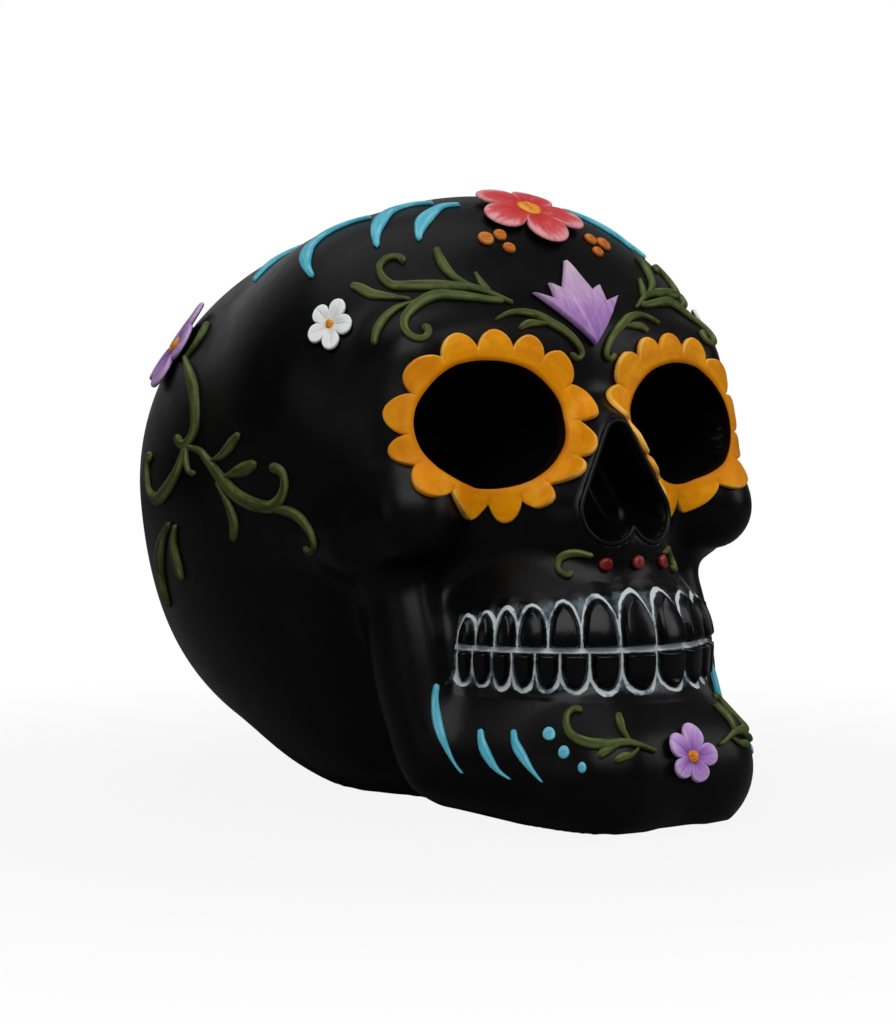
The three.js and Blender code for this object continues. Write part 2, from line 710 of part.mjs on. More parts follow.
const templeVine = [
  { shape: 'stem', points: [[23.8, 52.2], [32.1, 53.4], [42.4, 52.6], [50.7, 51.2], [56, 51.4],
    [60.1, 53], [60.1, 55.4], [56.9, 56.1], [55, 55]] },
  { shape: 'leaf', points: [[35.6, 53.3], [41.8, 54.6], [44.7, 57.4], [46.3, 60]] },
  { shape: 'leaf', points: [[28.5, 53.3], [32.7, 54.8], [34.4, 56.9]], scale: 0.8 },
  { shape: 'curl', points: [[30, 52.8], [37.9, 51.6], [46.3, 49.4], [49.8, 45.8], [50.4, 42.6],
    [48.5, 40.2], [46.1, 40.7], [45.4, 42.3]] },
  { shape: 'leaf', points: [[47.5, 49.2], [56.3, 47.9], [61, 47.6], [66.2, 49.3]] },
  { shape: 'leaf', points: [[49, 47.4], [55.9, 44.8], [56.2, 38.9]] },
];

const lotusSprig = [
  { shape: 'stem', points: [[8.6, 44.6], [6.5, 43.7], [3.9, 44], [4.4, 45.3], [7.6, 47.3], [14.7, 49.5],
    [23.1, 50.1], [29.2, 48]] },
  { shape: 'leaf', points: [[10, 48], [16.2, 48.3], [22.5, 47.6]], scale: 0.8 },
];

const backVine = [
  { shape: 'stem', points: [[123, 34.6], [113.4, 31.7], [107.9, 26.9], [108.7, 22.3], [111.6, 20.1],
    [113.1, 21.4]] },
  { shape: 'leaf', points: [[119.6, 33.8], [119.6, 38], [123.8, 41.4]] },
  { shape: 'curl', points: [[108.6, 21], [113.3, 13.7], [120, 9.4], [125.5, 10.6], [126.5, 14.8],
    [123.2, 16.9]] },
  { shape: 'stem', points: [[109, 20.6], [101.2, 17.4], [93, 12.8], [84.2, 11], [79, 12.2], [76.7, 15.2],
    [77, 17.6], [79.1, 18.4]] },
  { shape: 'curl', points: [[86, 11.3], [80.1, 10.6], [74.7, 9.4], [70.9, 6.9], [69, 4.5], [71.3, 2.4],
    [74.2, 2.7]] },
  { shape: 'leaf', points: [[102, 17.6], [93.1, 20.4], [88.5, 23.8]] },
  { shape: 'leaf', points: [[97, 15.4], [88.2, 17.4], [83.9, 18.9]], scale: 0.9 },
  { shape: 'leaf', points: [[97.4, 15.2], [94.7, 9.9], [96, 3.4]] },
];

const backLeaves = {
  long: [[116.5, 6], [124.7, -0.8], [128.8, -11.4]],
  short: [[113.2, 5.8], [115.2, 0.6], [115.2, -5.2]],
};

const lipCurl = [[9.3, 1.9], [12.7, 2.5], [15.4, 1.3], [16.2, -1.4], [14.6, -2.3], [13.9, -1.2]];

const chinVine = [
  { shape: 'stem', points: [[6.4, -25.2], [12.5, -24.5], [16.6, -25.2], [19, -25.3], [18.9, -24.2],
    [17.1, -23], [16.4, -23.4]] },
  { shape: 'leaf', points: [[11, -24.5], [11.7, -23.3], [11.2, -22.2]], scale: 0.8 },
  { shape: 'leaf', points: [[10.8, -24.6], [12.4, -25.5], [14, -26.2]], scale: 0.8 },
  { shape: 'leaf', points: [[13.5, -24.6], [14.8, -25.6], [16.2, -26.4]], scale: 0.8 },
];

for (const [sideName, side] of Object.entries(sides)) {
  addPiece(`eye_ring_${sideName}`, eyeRingGeometry(side), yellowPaint);
  addFlower(`white_flower_${sideName}`, whiteFlower, side, whitePaint);
  addFlower(`back_flower_${sideName}`, backFlower, side, violetPaint);
  addPiece(`temple_vine_${sideName}`, vine(templeVine, side, vineWidth), olivePaint);
  addPiece(`lotus_sprig_${sideName}`, vine(lotusSprig, side, fineVineWidth), olivePaint);
  addPiece(`back_vine_${sideName}`, vine(backVine, side, wideVineWidth), olivePaint);
  addPiece(`chin_vine_${sideName}`, vine(chinVine, side, fineVineWidth), olivePaint);
  const curl = seated(stroke(lipCurl, side, fineVineWidth, vineHeight, 'curl'));
  addPiece(`lip_curl_${sideName}`, curl, olivePaint);
  for (const [name, points] of Object.entries(backLeaves)) {
    const leaf = seated(stroke(points, side, wideVineWidth, vineHeight, 'leaf'));
    addPiece(`back_leaf_${name}_${sideName}`, leaf, olivePaint);
  }
  for (const [name, spec] of Object.entries(crownDots)) {
    addPiece(`crown_dot_${name}_${sideName}`, dot(crownDotPlace(spec, side), spec.radius), orangePaint);
  }
  crownStrokes.forEach((points, index) => {
    const geometry = seated(stroke(points, side, strokeWidth, strokeHeight, 'brush'));
    addPiece(`crown_stroke_${index + 1}_${sideName}`, geometry, turquoisePaint);
  });
  jawStrokes.forEach((points, index) => {
    const geometry = seated(stroke(points, side, strokeWidth, strokeHeight, 'brush'));
    addPiece(`jaw_stroke_${index + 1}_${sideName}`, geometry, turquoisePaint);
  });
}

// The origin lies under the middle of the whole ornament, on the surface that the pads stand on
const extent = new THREE.Box3().setFromObject(skull);
skull.position.set(0, -(extent.min.y + extent.max.y) / 2, padThickness - baseLevel);

export default skull;
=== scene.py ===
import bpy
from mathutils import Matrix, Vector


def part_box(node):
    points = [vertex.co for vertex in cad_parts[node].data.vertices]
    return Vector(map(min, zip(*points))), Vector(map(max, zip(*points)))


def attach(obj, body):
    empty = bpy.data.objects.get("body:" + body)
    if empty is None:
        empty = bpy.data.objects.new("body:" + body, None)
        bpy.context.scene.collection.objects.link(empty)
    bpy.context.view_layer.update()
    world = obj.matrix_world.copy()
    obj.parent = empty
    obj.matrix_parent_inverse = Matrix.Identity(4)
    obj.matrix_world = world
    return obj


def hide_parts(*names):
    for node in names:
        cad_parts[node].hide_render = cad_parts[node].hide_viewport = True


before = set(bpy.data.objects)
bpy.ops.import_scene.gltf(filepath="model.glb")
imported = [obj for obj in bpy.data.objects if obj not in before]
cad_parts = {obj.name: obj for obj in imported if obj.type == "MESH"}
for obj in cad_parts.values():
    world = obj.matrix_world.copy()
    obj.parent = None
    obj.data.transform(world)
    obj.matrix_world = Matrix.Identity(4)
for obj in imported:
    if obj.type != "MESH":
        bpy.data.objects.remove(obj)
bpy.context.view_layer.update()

import bpy
import numpy as np
from mathutils import Matrix, Vector

# Everything is worked out in millimetres in the head's own frame, and put into metres last
mm = 0.001
plugSeat = {"place": 2.0, "radius": 13.3, "depth": 3.3, "base": 3.4}
plugLow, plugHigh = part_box("base_plug")
plugMiddle = (plugLow.y + plugHigh.y) / 2 / mm
headShift = np.array([0.0, plugMiddle - plugSeat["place"], plugLow.z / mm - plugSeat["base"]])


def toMetres(points):
    # head frame to the part's frame: shifted, then scaled
    return (np.asarray(points) + headShift) * mm


# Camera at the photograph's viewing angle

cameraView = {"azimuth": -36.0, "pitch": 2.53, "lens": 87.54, "place": (-373.45, -511.83, 100.43)}


def addCamera(view):
    # right, up and back directions from the azimuth and the downward pitch
    azimuth, pitch = np.radians(view["azimuth"]), np.radians(view["pitch"])
    right = np.array([np.cos(azimuth), np.sin(azimuth), 0])
    back = np.array([np.sin(azimuth) * np.cos(pitch), -np.cos(azimuth) * np.cos(pitch), np.sin(pitch)])
    up = np.cross(back, right)
    lens = bpy.data.cameras.new("camera")
    lens.lens = view["lens"]
    lens.sensor_width = 36
    lens.sensor_fit = "AUTO"
    lens.clip_start = 0.01
    camera = bpy.data.objects.new("camera", lens)
    bpy.context.collection.objects.link(camera)
    turn = Matrix(np.column_stack([right, up, back]).tolist()).to_4x4()
    camera.matrix_world = Matrix.Translation(Vector(toMetres(view["place"]))) @ turn
    bpy.context.scene.camera = camera


addCamera(cameraView)
print("camera placed")

# The head: round forms melted together, given on one side and mirrored

skullForms = {
    "braincase": {"centre": (0, 20, 80), "radii": (68, 74, 66), "blend": 12},
    "dome": {"centre": (0, -12, 98.5), "radii": (67.5, 43.5, 53), "blend": 12},
    "lowBack": {"centre": (0, 24, 52.5), "radii": (57, 64, 47.5), "blend": 14},
    "skullBase": {"centre": (0, 6, 25), "radii": (44, 48, 27.5), "blend": 8},
    "brow": {"start": (0, -46, 113.5), "end": (42, -42, 112.5), "thick": (8, 6), "blend": 8},
    "orbitRim": {"start": (44.5, -39.6, 107.5), "end": (45.2, -43.6, 80), "thick": (5.5, 8), "blend": 8},
    "temple": {"centre": (38, -28, 87.5), "radii": (20, 22, 30), "blend": 9},
    "cheekbone": {"start": (46, -46, 74.2), "end": (50, -32, 70.5), "thick": (10.5, 8.5), "blend": 6},
    "cheekArch": {"start": (50, -32, 70), "end": (53, -14, 70), "thick": (8.5, 5), "blend": 7},
    "mastoid": {"centre": (45, -12, 53.5), "radii": (8, 8, 10), "blend": 6},
    "midFace": {"centre": (0, -43, 75.5), "radii": (28, 17, 20), "blend": 8},
    "noseBase": {"centre": (0, -46, 66), "radii": (21, 25.5, 20), "blend": 8},
    "nasalBone": {"start": (0, -46, 103), "end": (0, -58.5, 94.5), "thick": (5, 3.5), "blend": 4},
}
noseHole = {"lobe": (6.2, 74.8), "lobeRadius": 7.0, "top": 92.2, "topRadius": 4.0, "depth": 15.0,
            "bowl": 4.0, "front": -51.0}
noseWall = {"front": -65.2, "height": 96.0, "slope": 0.139, "margin": 1.0, "flare": 0.28, "round": 2.0,
            "blend": 5, "long": 30.0}
dentalArch = {"back": -38, "halfWidth": 38, "depth": 42.7, "inset": 0.04, "narrowing": 0.00066,
              "bite": 44, "top": 66, "bottom": 24, "softness": 32, "blend": 5}
jawForms = {
    "mouthFloor": {"centre": (0, -38, 21), "radii": (32, 44, 23), "blend": 8},
    "chin": {"start": (0, -77, 16), "end": (12, -76, 16), "thick": (14.5, 14.5), "blend": 7},
    "jawBody": {"start": (12, -74, 14.3), "end": (32.5, -48, 18.5), "thick": (14, 12.5), "blend": 8},
    "ramus": {"centre": (41.5, -38, 43), "radii": (7.5, 10.5, 32), "blend": 6, "tilt": -16},
}
shoulder = {"fill": 1.9, "place": 9.0, "long": 19.0, "out": (24, 40), "above": (92, 116)}
middle = np.array([0.0, -6.0, 63.0])
farReach = 165.0


def smoothMin(a, b, blend):
    # the lower of two distances, rounded off where they are within the blend of each other
    share = np.clip(0.5 + 0.5 * (b - a) / blend, 0, 1)
    return b + (a - b) * share - blend * share * (1 - share)


def smoothStep(value, low, high):
    # 0 below low, 1 above high, and an S between them
    share = np.clip((value - low) / (high - low), 0, 1)
    return share * share * (3 - 2 * share)


def formDistance(form, points):
    # an ellipsoid: its scaled radius less one, over the slope
    # a limb: the gap to its line less its radius there
    if "centre" in form:
        off = points - np.array(form["centre"], float)
        tilt = np.radians(form.get("tilt", 0))
        radii = np.array(form["radii"], float)
        leant = np.stack([off[..., 0], off[..., 1] * np.cos(tilt) + off[..., 2] * np.sin(tilt),
                          off[..., 2] * np.cos(tilt) - off[..., 1] * np.sin(tilt)], -1) / radii
        near = np.sqrt((leant ** 2).sum(-1))
        return near * (near - 1) / (np.sqrt(((leant / radii) ** 2).sum(-1)) + 1e-9)
    start, line = np.array(form["start"], float), np.subtract(form["end"], form["start"])
    along = np.clip((points - start) @ line / (line @ line), 0, 1)
    gap = np.sqrt(((points - start - along[..., None] * line) ** 2).sum(-1))
    return gap - form["thick"][0] - (form["thick"][1] - form["thick"][0]) * along


def archScale(height):
    # share of the arch's full size at a height: even below the bite, less by the square of the rise above
    rise = np.maximum(height - dentalArch["bite"], 0)
    return 1 - dentalArch["inset"] - dentalArch["narrowing"] * rise ** 2


def archDistance(points):
    # half an ellipse seen from above that narrows upwards from the bite, cut off at top and bottom
    arch = dentalArch
    reach = np.hypot(points[..., 0] / arch["halfWidth"], (points[..., 1] - arch["back"]) / arch["depth"])
    edge = archScale(points[..., 2])
    level = np.abs(points[..., 2] - (arch["top"] + arch["bottom"]) / 2) - (arch["top"] - arch["bottom"]) / 2
    return -smoothMin((edge - reach) * arch["softness"], -level, arch["blend"])


def noseOutline(x, z):
    # distance to an upside-down heart: a round lobe and a smaller top circle wrapped by their tangents
    out, low = noseHole["lobe"]
    across, up = np.abs(x) - out, z - low
    axis = np.array([-out, noseHole["top"] - low])
    span = np.linalg.norm(axis)
    along = (across * axis[0] + up * axis[1]) / span
    beside = np.abs(across * axis[1] - up * axis[0]) / span
    taper = (noseHole["lobeRadius"] - noseHole["topRadius"]) / span
    level = np.sqrt(1 - taper ** 2)
    where = level * along - taper * beside
    flank = level * beside + taper * along - noseHole["lobeRadius"]
    flank = np.where(where < 0, np.hypot(along, beside) - noseHole["lobeRadius"], flank)
    return np.where(where > level * span, np.hypot(along - span, beside) - noseHole["topRadius"], flank)


def noseDistance(points):
    # the heart outline with a margin, flaring backwards, cut off by a front that leans forward downwards
    front = noseWall["front"] + (points[..., 2] - noseWall["height"]) * noseWall["slope"]
    behind = points[..., 1] - front
    side = noseOutline(points[..., 0], points[..., 2]) - noseWall["margin"] - noseWall["flare"] * behind
    wedge = -smoothMin(-side / np.hypot(1, noseWall["flare"]), behind, noseWall["round"])
    return np.maximum(wedge, behind - noseWall["long"])


def shoulderFill(points):
    # a low swelling over the crease between dome and braincase: a bell along y, faded inwards and downwards
    bell = np.exp(-((points[..., 1] - shoulder["place"]) / shoulder["long"]) ** 2)
    outwards = smoothStep(points[..., 0], *shoulder["out"])
    upwards = smoothStep(points[..., 2], *shoulder["above"])
    return shoulder["fill"] * bell * outwards * upwards


def headDistance(points):
    # the melted distance of all the forms, the face first and the jaw after the dental arch, less the fill
    near = np.array(points, float)
    near[..., 0] = np.abs(near[..., 0])
    distance = np.full(near.shape[:-1], 1000.0)
    for form in skullForms.values():
        distance = smoothMin(distance, formDistance(form, near), form["blend"])
    distance = smoothMin(distance, noseDistance(near), noseWall["blend"])
    distance = smoothMin(distance, archDistance(near), dentalArch["blend"])
    for form in jawForms.values():
        distance = smoothMin(distance, formDistance(form, near), form["blend"])
    return distance - shoulderFill(near)


def skinAlong(origin, rays, start=farReach, steps=80):
    # marches inwards along each ray by 0.7 of the distance left, and stops on the skin
    reach = np.broadcast_to(np.asarray(start, float), rays.shape[:-1]).copy()
    for step in range(steps):
        reach -= 0.7 * headDistance(origin + rays * reach[..., None])
    return origin + rays * reach[..., None]


def skinNormal(points, probe=0.4):
    # slope of the melted distance along x, y and z
    steps = probe * np.eye(3)
    slope = np.stack([headDistance(points + step) - headDistance(points - step) for step in steps], -1)
    return slope / np.linalg.norm(slope, axis=-1, keepdims=True)


def headRay(out, up, side=1):
    # direction from the middle: degrees out from the face's midline, degrees up from the level
    out, up = np.broadcast_arrays(np.radians(out), np.radians(up))
    return np.stack([side * np.sin(out) * np.cos(up), -np.cos(out) * np.cos(up), np.sin(up)], -1)


def onSkin(places, side=1):
    # where the rays at (out, up) places leave the head
    places = np.asarray(places, float)
    return skinAlong(middle, headRay(places[..., 0], places[..., 1], side))


def settle(points, steps=18):
    # slides points that lie near the skin on to it, along their own rays from the middle
    rays = points - middle
    reach = np.linalg.norm(rays, axis=-1)
    return skinAlong(middle, rays / reach[..., None], reach, steps)


def faceSkin(x, z):
    # carries points in front of the face straight back on to the skin
    points = np.stack([x, np.full_like(x, -farReach), z], -1)
    for step in range(130):
        points[..., 1] += 0.6 * headDistance(points)
    return points


# Meshes

def sheet(grid, around=False, capStart=False, capEnd=False, **marks):
    # joins a grid of points into quads; around joins the last column to the first, and a cap closes
    # the first or last row with a fan to its mean point. Marks are values at each point.
    rows, columns = grid.shape[:2]
    index = np.arange(rows * columns).reshape(rows, columns)
    if around:
        index = np.concatenate([index, index[:, :1]], 1)
    faces = [np.stack([index[:-1, :-1], index[:-1, 1:], index[1:, 1:], index[1:, :-1]], -1).reshape(-1, 4)]
    points = [grid.reshape(-1, 3)]
    marks = {name: np.broadcast_to(mark, grid.shape[:2] + mark.shape[2:]) for name, mark in marks.items()}
    values = {name: [mark.reshape((rows * columns,) + mark.shape[2:])] for name, mark in marks.items()}
    for row, order, wanted in ((0, 1, capStart), (-1, -1, capEnd)):
        if wanted:
            tip = sum(len(part) for part in points)
            points.append(grid[row].mean(0)[None])
            edge = index[row]
            fan = np.stack([edge[1:], edge[:-1], np.full(len(edge) - 1, tip)], -1)
            faces.append(fan[:, ::order])
            for name, mark in marks.items():
                values[name].append(mark[row].mean(0)[None])
    values = {name: np.concatenate(parts) for name, parts in values.items()}
    return np.concatenate(points), faces, values


def enclosed(points, faces):
    # six times the signed volume, from fans over each face
    total = 0.0
    for block in faces:
        corners = points[block]
        for third in range(2, block.shape[1]):
            total += np.einsum("ij,ij->", corners[:, 0], np.cross(corners[:, third - 1], corners[:, third]))
    return total


def makePiece(name, sheets, material, nodes=()):
    # one object from closed sheets, each turned to face outwards, with its marks as attributes
    points, faces, marks, count = [], [], {}, 0
    for sheetPoints, sheetFaces, sheetMarks in sheets:
        step = 1 if enclosed(sheetPoints, sheetFaces) > 0 else -1
        for block in sheetFaces:
            faces += (block[:, ::step] + count).tolist()
        for mark, values in sheetMarks.items():
            marks.setdefault(mark, []).append(values)
        points.append(sheetPoints)
        count += len(sheetPoints)
    mesh = bpy.data.meshes.new(name)
    mesh.from_pydata(toMetres(np.concatenate(points)), [], faces)
    for mark, parts in marks.items():
        values = np.concatenate(parts).astype(np.float32)
        kind, field = ("FLOAT", "value") if values.ndim == 1 else ("FLOAT_VECTOR", "vector")
        mesh.attributes.new(mark, kind, "POINT").data.foreach_set(field, values.ravel())
    mesh.shade_smooth()
    mesh.validate()
    mesh.materials.append(material)
    piece = bpy.data.objects.new(name, mesh)
    bpy.context.collection.objects.link(piece)
    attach(piece, "root")
    if nodes:
        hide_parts(*nodes)


# Finishes

def paintColour(red, green, blue):
    # a colour written as 0 to 255, as light values
    share = np.array([red, green, blue]) / 255
    light = np.where(share <= 0.04045, share / 12.92, ((share + 0.055) / 1.055) ** 2.4)
    return (*light.tolist(), 1.0)


class Nodes:
    # adds nodes to one tree, each input given as a value or as another node's output
    def __init__(self, tree):
        self.tree = tree

    def node(self, kind, inputs=(), **settings):
        made = self.tree.nodes.new(kind)
        for name, value in settings.items():
            setattr(made, name, value)
        for name, value in dict(inputs).items():
            self.put(made.inputs[name], value)
        return made

    def put(self, socket, value):
        if isinstance(value, bpy.types.NodeSocket):
            self.tree.links.new(value, socket)
        else:
            socket.default_value = value

    def span(self, factor, low, high, first=0.0, last=1.0):
        # carries a range of the factor on to another range, held at both ends
        inputs = {"Value": factor, "From Min": low, "From Max": high, "To Min": first, "To Max": last}
        return self.node("ShaderNodeMapRange", inputs, interpolation_type="SMOOTHSTEP").outputs["Result"]

    def maths(self, operation, first, second):
        return self.node("ShaderNodeMath", {0: first, 1: second}, operation=operation).outputs[0]

    def plus(self, first, second):
        return self.maths("ADD", first, second)

    def times(self, first, second):
        return self.maths("MULTIPLY", first, second)


class Finish(Nodes):
    # a node material that is built up step by step
    def __init__(self, name, roughness, specular=0.5):
        self.material = bpy.data.materials.new(name)
        self.material.use_nodes = True
        super().__init__(self.material.node_tree)
        self.shader = self.tree.nodes["Principled BSDF"]
        self.roughness(roughness)
        self.specular(specular)

    def mark(self, name):
        return self.node("ShaderNodeAttribute", attribute_name=name).outputs["Fac"]

    def place(self):
        return self.node("ShaderNodeTexCoord").outputs["Object"]

    def grain(self, stretch):
        # the piece's own along, across and lift in millimetres, stretched for brush marks
        own = self.node("ShaderNodeAttribute", attribute_name="grain").outputs["Vector"]
        return self.node("ShaderNodeMapping", {"Vector": own, "Scale": stretch}).outputs["Vector"]

    def noise(self, vector, scale, detail=3.0, rough=0.55):
        inputs = {"Vector": vector, "Scale": scale, "Detail": detail, "Roughness": rough}
        return self.node("ShaderNodeTexNoise", inputs).outputs["Fac"]

    def ramp(self, factor, stops):
        made = self.node("ShaderNodeValToRGB", {"Fac": factor})
        ramp = made.color_ramp
        while len(ramp.elements) < len(stops):
            ramp.elements.new(0.5)
        for element, (position, colour) in zip(ramp.elements, stops):
            element.position = position
            element.color = colour
        return made.outputs["Color"]

    def mix(self, factor, first, second):
        # inputs 6 and 7 and output 2 are the node's colour sockets
        inputs = {0: factor, 6: first, 7: second}
        return self.node("ShaderNodeMix", inputs, data_type="RGBA").outputs[2]

    def relief(self, height, strength, distance):
        inputs = {"Height": height, "Strength": strength, "Distance": distance}
        bump = self.node("ShaderNodeBump", inputs)
        self.put(self.shader.inputs["Normal"], bump.outputs["Normal"])

    def colour(self, value):
        self.put(self.shader.inputs["Base Color"], value)

    def roughness(self, value):
        self.put(self.shader.inputs["Roughness"], value)

    def specular(self, value):
        self.put(self.shader.inputs["Specular IOR Level"], value)


def blackResin(name, roughness, specular):
    # satin black: faint cloudy patches, uneven sheen and the fine skin of a casting; deep in the eye
    # sockets the shine is turned down as painted shade
    finish = Finish(name, roughness, specular)
    place = finish.place()
    cloud = finish.noise(place, 38, 4)
    brushed = finish.noise(place, 260, 3, 0.6)
    tones = [(0.3, (0.0012, 0.0012, 0.0013, 1)), (0.7, (0.003, 0.003, 0.0029, 1))]
    finish.colour(finish.ramp(cloud, tones))
    uneven = finish.plus(finish.times(cloud, 0.6), finish.times(brushed, 0.4))
    finish.roughness(finish.span(uneven, 0.3, 0.7, roughness - 0.05, roughness + 0.08))
    finish.relief(finish.plus(finish.noise(place, 900, 2), finish.times(brushed, 0.8)), 0.12, 0.00025)
    # painted shade: the specular level falls to 0.03 deep inside the eye sockets, so they render darker
    finish.specular(finish.span(finish.mark("pit"), 0, 1, specular, 0.03))
    return finish


brushMarks = {"stretch": (0.16, 1.5, 0.6), "worn": 0.5, "footShade": 0.1, "specular": 0.25}


def brushPaint(name, shade, body, pale, roughness=0.5):
    # brushed-on paint: painted shade at the foot of the relief, streaked along the brush, paler on worn
    # edges
    finish = Finish(name, roughness, brushMarks["specular"])
    streak = finish.noise(finish.grain(brushMarks["stretch"]), 1.0, 4, 0.6)
    blotch = finish.noise(finish.place(), 190, 3)
    colour = finish.mix(finish.span(streak, 0.32, 0.68), paintColour(*shade), paintColour(*body))
    edge = finish.times(finish.mark("shoulder"), finish.span(blotch, 0.35, 0.62))
    colour = finish.mix(finish.times(edge, brushMarks["worn"]), colour, paintColour(*pale))
    # painted shade: near black at the foot where the relief meets the skin, fading out a little way up
    foot = [brushMarks["footShade"] * value for value in paintColour(*shade)[:3]] + [1.0]
    finish.colour(finish.mix(finish.span(finish.mark("rise"), 0.02, 0.42), foot, colour))
    finish.roughness(finish.span(streak, 0.3, 0.7, roughness + 0.08, roughness - 0.06))
    finish.relief(finish.plus(streak, finish.times(blotch, 0.5)), 0.25, 0.0002)
    return finish.material


def petalPaint(name, stops, under, veins):
    # petals coloured from the eye to the rim, with brush lines that run outwards; the underside and lower
    # rim are painted dark as the shade beneath the petals
    roughness = 0.5
    finish = Finish(name, roughness, brushMarks["specular"])
    streak = finish.noise(finish.grain(veins), 1.0, 4, 0.6)
    blotch = finish.noise(finish.place(), 260, 3)
    reach = finish.plus(finish.mark("reach"), finish.span(streak, 0.25, 0.75, -0.14, 0.14))
    colour = finish.ramp(reach, [(at, paintColour(*tone)) for at, tone in stops])
    colour = finish.mix(finish.span(blotch, 0.5, 0.75, 0.0, 0.25), colour, paintColour(*stops[-1][1]))
    # painted shade: the under colour on the underside and lower half of the rim, fading up the rim
    finish.colour(finish.mix(finish.span(finish.mark("rise"), 0.1, 0.45), paintColour(*under), colour))
    finish.roughness(finish.span(streak, 0.3, 0.7, roughness + 0.08, roughness - 0.05))
    finish.relief(finish.plus(streak, finish.times(blotch, 0.4)), 0.3, 0.0002)
    return finish.material


resinFinish = blackResin("black_resin", 0.32, 0.15).material
oliveFinish = brushPaint("olive_paint", (52, 60, 22), (82, 92, 38), (146, 154, 94))
turquoiseFinish = brushPaint("turquoise_paint", (60, 164, 190), (98, 198, 220), (170, 222, 232))
orangeFinish = brushPaint("orange_paint", (164, 80, 16), (204, 114, 30), (230, 162, 76))
lipFinish = brushPaint("lip_red_paint", (86, 11, 10), (124, 22, 20), (180, 88, 80), 0.22)


# Head casting

headGrid = {"columns": 440, "rows": 216, "frontCrowding": 0.5, "levelCrowding": 0.4, "level": -8.0}
eyeSocket = {
    "centre": (28.0, 94.3), "radii": (19.2, 14.8), "lean": 16.0, "depth": 37.0, "front": -36.0,
    # dark: where the painted shade inside the socket starts and where it is full, as shares of its edge
    "under": 0.7, "dark": (1.14, 1.02),
    "edge": ((0, 0.6), (36, 0.8), (66, 1.8), (117, 1.3), (141, 0.3), (171, -0.7), (211, -1.0), (241, -0.3),
             (292, -0.4), (322, 0.7)),
}


def socketEdge(turn):
    # how far the socket's edge stands outside its ellipse, by degrees round from the temple side
    angles, reach = np.array(eyeSocket["edge"], float).T
    return np.interp(turn % 360, np.append(angles, 360), np.append(reach, reach[0]))


def socketShare(x, z):
    # 0 in the middle of the eye socket and 1 on its edge
    across = (x - eyeSocket["centre"][0]) / eyeSocket["radii"][0]
    up = (z - eyeSocket["centre"][1]) / np.cos(np.radians(eyeSocket["lean"])) / eyeSocket["radii"][1]
    wider = socketEdge(np.degrees(np.arctan2(up, across))) + eyeSocket["under"]
    return np.hypot(across / (1 + wider / eyeSocket["radii"][0]), up / (1 + wider / eyeSocket["radii"][1]))


def headSheet():
    # each point is where a ray from the pole axis leaves the melted forms; sockets and nose are pushed back
    # in along y, the base is cut flat, and the plug's seat is sunk into it round the same axis
    spec = headGrid
    pole = np.array([0.0, plugSeat["place"], middle[2]])
    turn = np.linspace(0, 1, spec["columns"] // 2 + 1)
    out = 180 * turn * (1 - spec["frontCrowding"] + spec["frontCrowding"] * turn ** 2)
    climb = np.linspace(-0.996, 0.996, spec["rows"])
    up = 90 * climb * (1 - spec["levelCrowding"] + spec["levelCrowding"] * climb ** 2)
    up = up + spec["level"] * (1 - climb ** 2)
    drop = pole[2] - plugSeat["base"]
    seatEdge = -np.degrees(np.arctan2(drop, plugSeat["radius"]))
    up = np.sort(np.concatenate([up, [seatEdge, seatEdge - 0.01]]))
    rays = headRay(out[None, :], up[:, None])
    points = skinAlong(pole, rays, steps=110)
    reach = np.linalg.norm(points - pole, axis=-1)
    ground = np.where(rays[..., 2] < 0, drop / np.maximum(-rays[..., 2], 1e-6), farReach)
    points = pole + rays * np.minimum(reach, ground)[..., None]
    points[..., 2] += np.where(up < seatEdge - 0.005, plugSeat["depth"], 0)[:, None]
    x, y, z = np.moveaxis(points, -1, 0)
    ring = socketShare(x, z)
    sunk = np.where((ring < 1) & (y < eyeSocket["front"]),
                    eyeSocket["depth"] * np.sqrt(1 - np.minimum(ring, 1) ** 6), 0)
    inside = np.clip(-noseOutline(x, z) / noseHole["bowl"], 0, 1)
    nose = np.where(y < noseHole["front"], noseHole["depth"] * np.sqrt(inside * (2 - inside)), 0)
    # painted shade mask: 1 deep in the eye socket, where the resin's shine is turned down
    pit = np.where(y < eyeSocket["front"], smoothStep(-ring, *np.negative(eyeSocket["dark"])), 0)
    points[..., 1] += np.maximum(sunk, nose)
    other = points[:, -2:0:-1] * np.array([-1, 1, 1])
    return sheet(np.concatenate([points, other], 1), around=True, capStart=True, capEnd=True,
                 pit=np.concatenate([pit, pit[:, -2:0:-1]], 1))


makePiece("head_casting", [headSheet()], resinFinish, ["skull_casting"])
print("head cast")

noseRim = {"radius": 0.65, "steps": 220, "round": 12, "centre": 80.0, "sunk": 0.2}


def noseRimSheet():
    # a bead carried along the heart outline, found by halving along rays from a point inside it
    turn = np.linspace(0, 2 * np.pi, noseRim["steps"], endpoint=False)
    near, far = np.zeros_like(turn), np.full_like(turn, 25.0)
    for halving in range(40):
        half = (near + far) / 2
        inside = noseOutline(half * np.cos(turn), noseRim["centre"] + half * np.sin(turn)) < 0
        near, far = np.where(inside, half, near), np.where(inside, far, half)
    path = faceSkin(near * np.cos(turn), noseRim["centre"] + near * np.sin(turn))
    normal = skinNormal(path)
    ahead = np.roll(path, -1, 0) - np.roll(path, 1, 0)
    across = np.cross(ahead / np.linalg.norm(ahead, axis=-1, keepdims=True), normal)
    around = np.linspace(0, 2 * np.pi, noseRim["round"], endpoint=False)
    bead = noseRim["radius"] * (np.cos(around)[None, :, None] * across[:, None]
                                + np.sin(around)[None, :, None] * normal[:, None])
    grid = path[:, None] - noseRim["sunk"] * normal[:, None] + bead
    return sheet(np.concatenate([grid, grid[:1]]), around=True)


makePiece("nose_rim", [noseRimSheet()], resinFinish, ["skull_casting"])
print("nose rim laid")

# Teeth: one band along the dental arch

